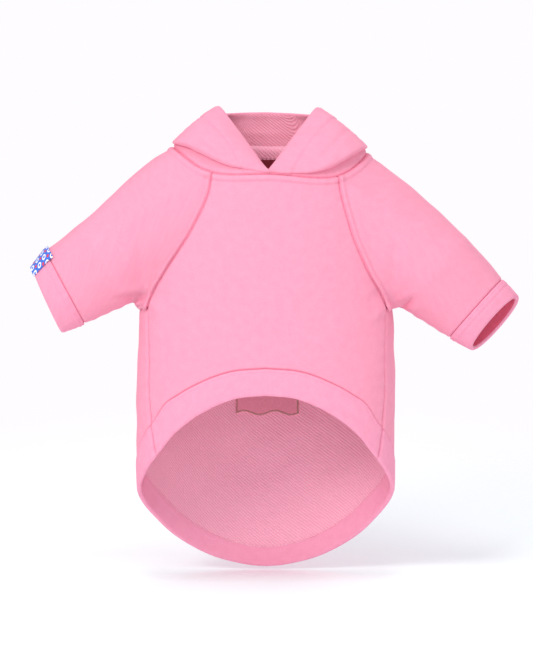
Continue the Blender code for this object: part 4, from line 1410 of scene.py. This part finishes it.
@dataclass(frozen=True)
class Studio:
    """A plain pale floor that sweeps up behind, soft lights and a long lens."""

    floor_drop: float = 316.5
    distance: float = 9.0
    room: float = 0.78
    elevation: float = 0.6
    scale: float = 0.78
    width: int = 533
    height: int = 666
    centre: tuple[float, float] = (270.0, 166.0)
    sweep_start: float = 0.057
    sweep_slope: float = 0.12
    sweep_bend: float = 0.3
    sweep_reach: float = 0.6
    fade_start: float = 0.24
    fade_stop: float = 0.55
    lamps: tuple[tuple, ...] = (
        ("key_light", (-1.3, -1.9, 1.1), 0.8, 24.0, "#fffaf6"),
        ("fill_light", (0.9, -2.6, -0.3), 1.8, 7.0, "#fdfaff"),
        ("low_light", (0.1, -2.4, -1.1), 1.2, 6.0, "#fffcfd"),
        ("top_light", (-0.1, -1.1, 1.9), 0.8, 11.0, "#ffffff"),
        ("back_light", (1.2, 2.2, 1.0), 1.4, 14.0, "#fffcfa"))

    def sweep(self) -> None:
        """Make the floor as a curved sheet that fades out round the garment."""
        places = np.linspace(-self.sweep_reach, self.sweep_reach, 81)
        past = places - self.sweep_start
        heights = self.sweep_slope * past + self.sweep_bend * np.maximum(past, 0.0) ** 2
        verts = [(x, y, z - self.floor_drop * MM) for x in (-self.sweep_reach, self.sweep_reach)
                 for y, z in zip(places, heights)]
        count = len(places)
        faces = [(i, count + i, count + i + 1, i + 1) for i in range(count - 1)]
        mesh = bpy.data.meshes.new("studio_sweep")
        mesh.from_pydata(verts, [], faces)
        mesh.shade_smooth()
        # Matt white paper; it fades into the even white of the room.
        recipe = Recipe("studio_paper_matte")
        flat = recipe.add("VectorMath", recipe.add("NewGeometry"), (1.0, 1.0, 0.0),
                          operation="MULTIPLY")
        away = recipe.add("VectorMath", flat, take="Value", operation="LENGTH")
        seen = recipe.add("MapRange", interpolation_type="SMOOTHSTEP", named={
            "Value": away, "From Min": self.fade_stop, "From Max": self.fade_start})
        paper = recipe.add("BsdfPrincipled", named={
            "Base Color": linear("#f2fcfe"), "Roughness": 0.95, "Specular IOR Level": 0.1,
            "Emission Color": linear("#fcfcff"), "Emission Strength": 0.05})
        clear = recipe.add("BsdfTransparent")
        recipe.add("OutputMaterial", recipe.add("MixShader", seen, clear, paper))
        mesh.materials.append(recipe.material)
        thing = bpy.data.objects.new("studio_sweep", mesh)
        bpy.context.scene.collection.objects.link(thing)

    def light(self, name: str, place: tuple[float, float, float], size: float,
              power: float, tint: str) -> None:
        """Add a soft square light that points at the garment.

        Args:
            name: the light's name.
            place: where it stands, in metres.
            size: length of its sides in metres.
            power: its power in watts.
            tint: its colour.
        """
        data = bpy.data.lights.new(name, "AREA")
        data.size, data.energy = size, power
        data.color = linear(tint)[:3]
        thing = bpy.data.objects.new(name, data)
        bpy.context.scene.collection.objects.link(thing)
        thing.location = place
        aim = Vector((0.0, 0.0, -0.15)) - Vector(place)
        thing.rotation_euler = aim.to_track_quat("-Z", "Y").to_euler()

    def camera(self) -> None:
        """Aim a long lens so that the origin falls where the photo has the neck's centre."""
        data = bpy.data.cameras.new("camera")
        thing = bpy.data.objects.new("camera", data)
        bpy.context.scene.collection.objects.link(thing)
        lean = math.radians(self.elevation)
        middle_x = (self.width / 2.0 - self.centre[0]) * self.scale * MM
        middle_z = -(self.height / 2.0 - self.centre[1]) * self.scale * MM
        aim = Vector((middle_x, 0.0, middle_z))
        thing.location = aim + Vector((0.0, -math.cos(lean), math.sin(lean))) * self.distance
        thing.rotation_euler = (aim - thing.location).to_track_quat("-Z", "Y").to_euler()
        data.sensor_fit = "VERTICAL"
        data.sensor_height = 24.0
        data.lens = 24.0 * self.distance / (self.height * self.scale * MM)
        data.clip_end = 40.0
        bpy.context.scene.camera = thing

    def world(self) -> None:
        """Fill the room with even pale light."""
        world = bpy.data.worlds.new("studio_world")
        world.use_nodes = True
        shade = world.node_tree.nodes["Background"]
        shade.inputs[0].default_value = linear("#fefcff")
        path = world.node_tree.nodes.new("ShaderNodeLightPath")
        level = world.node_tree.nodes.new("ShaderNodeMath")
        level.operation = "MULTIPLY_ADD"
        level.inputs[1].default_value = 1.0 - self.room
        level.inputs[2].default_value = self.room
        world.node_tree.links.new(path.outputs["Is Camera Ray"], level.inputs[0])
        world.node_tree.links.new(level.outputs[0], shade.inputs[1])
        bpy.context.scene.world = world
        bpy.context.scene.view_settings.view_transform = "Standard"
        bpy.context.scene.view_settings.look = "None"

    def make(self) -> None:
        """Set up everything that isn't the garment."""
        self.sweep()
        self.world()
        for lamp in self.lamps:
            self.light(*lamp)
        self.camera()


# Soft creases as the cloth hangs, in front-view millimetres: the gathers at the armpits, the
# slack over the chest and back, and the two turns in each lapel.
def folds_of(rows: tuple[tuple[float, ...], ...], behind: bool = False) -> list[Fold]:
    """Read folds from rows of x and z of the start, x and z of the stop, width and rise."""
    return [Fold((row[0], row[1]), (row[2], row[3]), row[4], row[5], behind) for row in rows]


FOLDS: dict[str, list[Fold]] = {
    "sleeve_left": folds_of((
        (-101.0, -50.0, -99.0, -98.0, 4.5, -1.6), (-112.0, -52.0, -117.0, -92.0, 8.0, 1.2),
        (-121.0, -104.0, -96.0, -101.0, 2.2, -2.2), (-118.0, -98.0, -97.0, -95.0, 3.0, 1.3),
        (-108.0, -112.0, -99.0, -104.0, 2.0, 1.8), (-90.0, -60.0, -97.0, -96.0, 4.0, 0.9),
        (-130.0, -70.0, -150.0, -92.0, 6.0, -0.8))),
    "sleeve_right": folds_of((
        (96.0, -60.0, 97.0, -99.0, 4.5, -1.5), (106.0, -62.0, 112.0, -98.0, 7.0, 1.1),
        (101.0, -112.0, 113.0, -102.0, 1.8, -2.0), (97.0, -107.0, 112.0, -96.0, 2.0, 1.6),
        (104.0, -117.0, 116.0, -108.0, 2.0, 1.6), (128.0, -80.0, 146.0, -104.0, 6.0, -0.9))),
    "front_panel": folds_of((
        (-96.0, -104.0, -84.0, -116.0, 3.0, 1.2), (-92.0, -96.0, -78.0, -104.0, 3.5, -0.9),
        (92.0, -106.0, 80.0, -120.0, 3.0, 1.3), (88.0, -97.0, 76.0, -106.0, 3.5, -1.0),
        (-60.0, -60.0, -50.0, -120.0, 16.0, 0.9), (58.0, -70.0, 50.0, -130.0, 16.0, -0.9))),
    "back_panel": folds_of((
        (-60.0, -60.0, -52.0, -150.0, 16.0, 1.2), (56.0, -70.0, 50.0, -160.0, 16.0, 1.2),
        (-20.0, -120.0, -26.0, -230.0, 18.0, -1.0), (28.0, -130.0, 30.0, -240.0, 18.0, -1.0)),
        True),
    "hood_left": folds_of(((-64.0, 34.0, -36.0, 6.0, 3.5, -1.0),
                           (-58.0, 18.0, -40.0, 4.0, 4.0, 1.0))),
    "hood_right": folds_of(((66.0, 34.0, 38.0, 4.0, 3.0, -1.3),
                            (60.0, 22.0, 42.0, 2.0, 3.5, 1.0)))}

LEFT_SLEEVE = Sleeve(Side.LEFT, Ring(130.0, 77.0, 33.0, 73.0, 62.0),
                     Ring(160.0, 94.8, 28.5, 64.5, 42.0),
                     Ring(174.0, 104.8, 24.5, 55.0, 34.0, -1.0))
RIGHT_SLEEVE = Sleeve(Side.RIGHT, Ring(129.5, 84.0, 39.5, 74.0, 62.0),
                      Ring(160.8, 111.3, 42.0, 61.5, 42.0, 1.0),
                      Ring(176.0, 123.0, 41.3, 54.0, 34.0, 5.0))


def main() -> None:
    """Build the hoodie and its studio."""
    logging.basicConfig(level=logging.INFO, format="%(message)s")
    garment = Garment(Body(), LEFT_SLEEVE, RIGHT_SLEEVE, Hood(), Cuts())
    # Dyed terry, knitted and brushed: matt and soft, with a pale bloom where it turns away.
    face = KnitFace("pink_terry_brushed_knit_face", "#faabc3", "#f094b0").make()
    # The looped back of the same terry, set lighter than the face: its own colour lifted as painted
    # light for the dim inside, with painted shade between the rows of loops.
    loops = LoopedTerry("pink_terry_looped_inside_painted_light", "#ffc1d5", "#f699b4").make()
    # Dyed fine rib, knitted: as matt as the terry and a little smoother.
    band = KnitFace("pink_band_rib_knit", "#fbaec8", "#f094b2").make()
    # The same rib inside the narrow cuffs, made darker: a shaded copy of the band, painted shade for
    # the cuff's dim inside.
    turned = KnitFace("pink_band_rib_knit_painted_shade", "#f2708c", "#e05874").make()
    # Dyed cotton, woven plain: flat and dry, with a fine grain.
    mauve = PlainWeave("mauve_patch_cotton_weave", "#f2a0b4", "#dc8299").make()
    # Spun polyester threads: fine yarns with a faint gleam.
    thread = PlainWeave("pink_polyester_thread", "#f9a9c6", "#ee93b4", pitch=0.4, depth=0.03,
                        roughness=0.6).make()
    khaki = PlainWeave("khaki_overlock_thread", "#c09a86", "#a07c6b", pitch=0.4, depth=0.03,
                       roughness=0.7).make()
    # A dark red sheet in the back of the neck, woven close and nearly flat: painted shade for the
    # deep shadow inside the neck.
    maroon = PlainWeave("dark_red_painted_neck_shade", "#8d2c3b", "#74202f", pitch=0.5, depth=0.05,
                        roughness=0.7).make()
    # Polyester satin, woven with coloured yarns: smooth, with a low gloss.
    label = SatinLabel().make()
    sewing = Threads()
    pieces = garment.pieces(FOLDS)
    for name, piece in pieces.items():
        thing = piece.build()
        trim = name.startswith(("hem", "cuff"))
        thing.data.materials.append(band if trim else face)
        # The inside of each cuff takes the darker copy of the rib as painted shade.
        under = turned if name.startswith("cuff") else band
        # The inside of the body and hood takes the looped terry, lifted as painted light.
        thing.data.materials.append(under if trim else loops)
        flat, area = piece.flat_size()
        LOG.info("%s: %d faces, flat %.3f x %.3f m", name, len(thing.data.polygons), *flat)
    sewn = {f"{line}_topstitch": [] for line in ("neck", "raglan", "band", "cuff", "rim")}
    for piece in pieces.values():
        for which, (_, profile) in enumerate(piece.seams):
            for level in profile.stitch_lines if profile.thread else ():
                line = piece.stitch_line(level - profile.thread_inset, which)
                sewn[profile.thread].append(sewing.along(*line))
    for name, stitches in sewn.items():
        thing = sewing.sew(name, stitches, thread)
        LOG.info("%s: %d faces", name, len(thing.data.polygons))
    trims = Trims()
    patch, patch_face, patch_ways = trims.patch(garment)
    # The dark red sheet at the neck is painted shade; the patch and the blue label are the garment's
    # own.
    for thing, finish, slot in ((patch, mauve, "mauve_patch"),
                                (trims.neck_label(garment)[0], maroon, "red_label"),
                                (trims.cuff_label(garment)[0], label, "blue_label")):
        thing.data.materials.append(finish)
        thing.data.materials.append(finish)
        LOG.info("%s: %d faces", thing.name, len(thing.data.polygons))
    border = [(patch_face[-1], patch_ways[-1], patch_face[-2] - patch_face[-1]),
              (patch_face[:, 0], patch_ways[:, 0], patch_face[:, 1] - patch_face[:, 0]),
              (patch_face[:, -1], patch_ways[:, -1], patch_face[:, -2] - patch_face[:, -1])]
    overlock = sewing.sew("patch_overlock",
                          [sewing.across(*side, trims.overlock_width, trims.overlock_pitch)
                           for side in border], khaki)
    Studio().make()


if __name__ == "__main__":
    main()
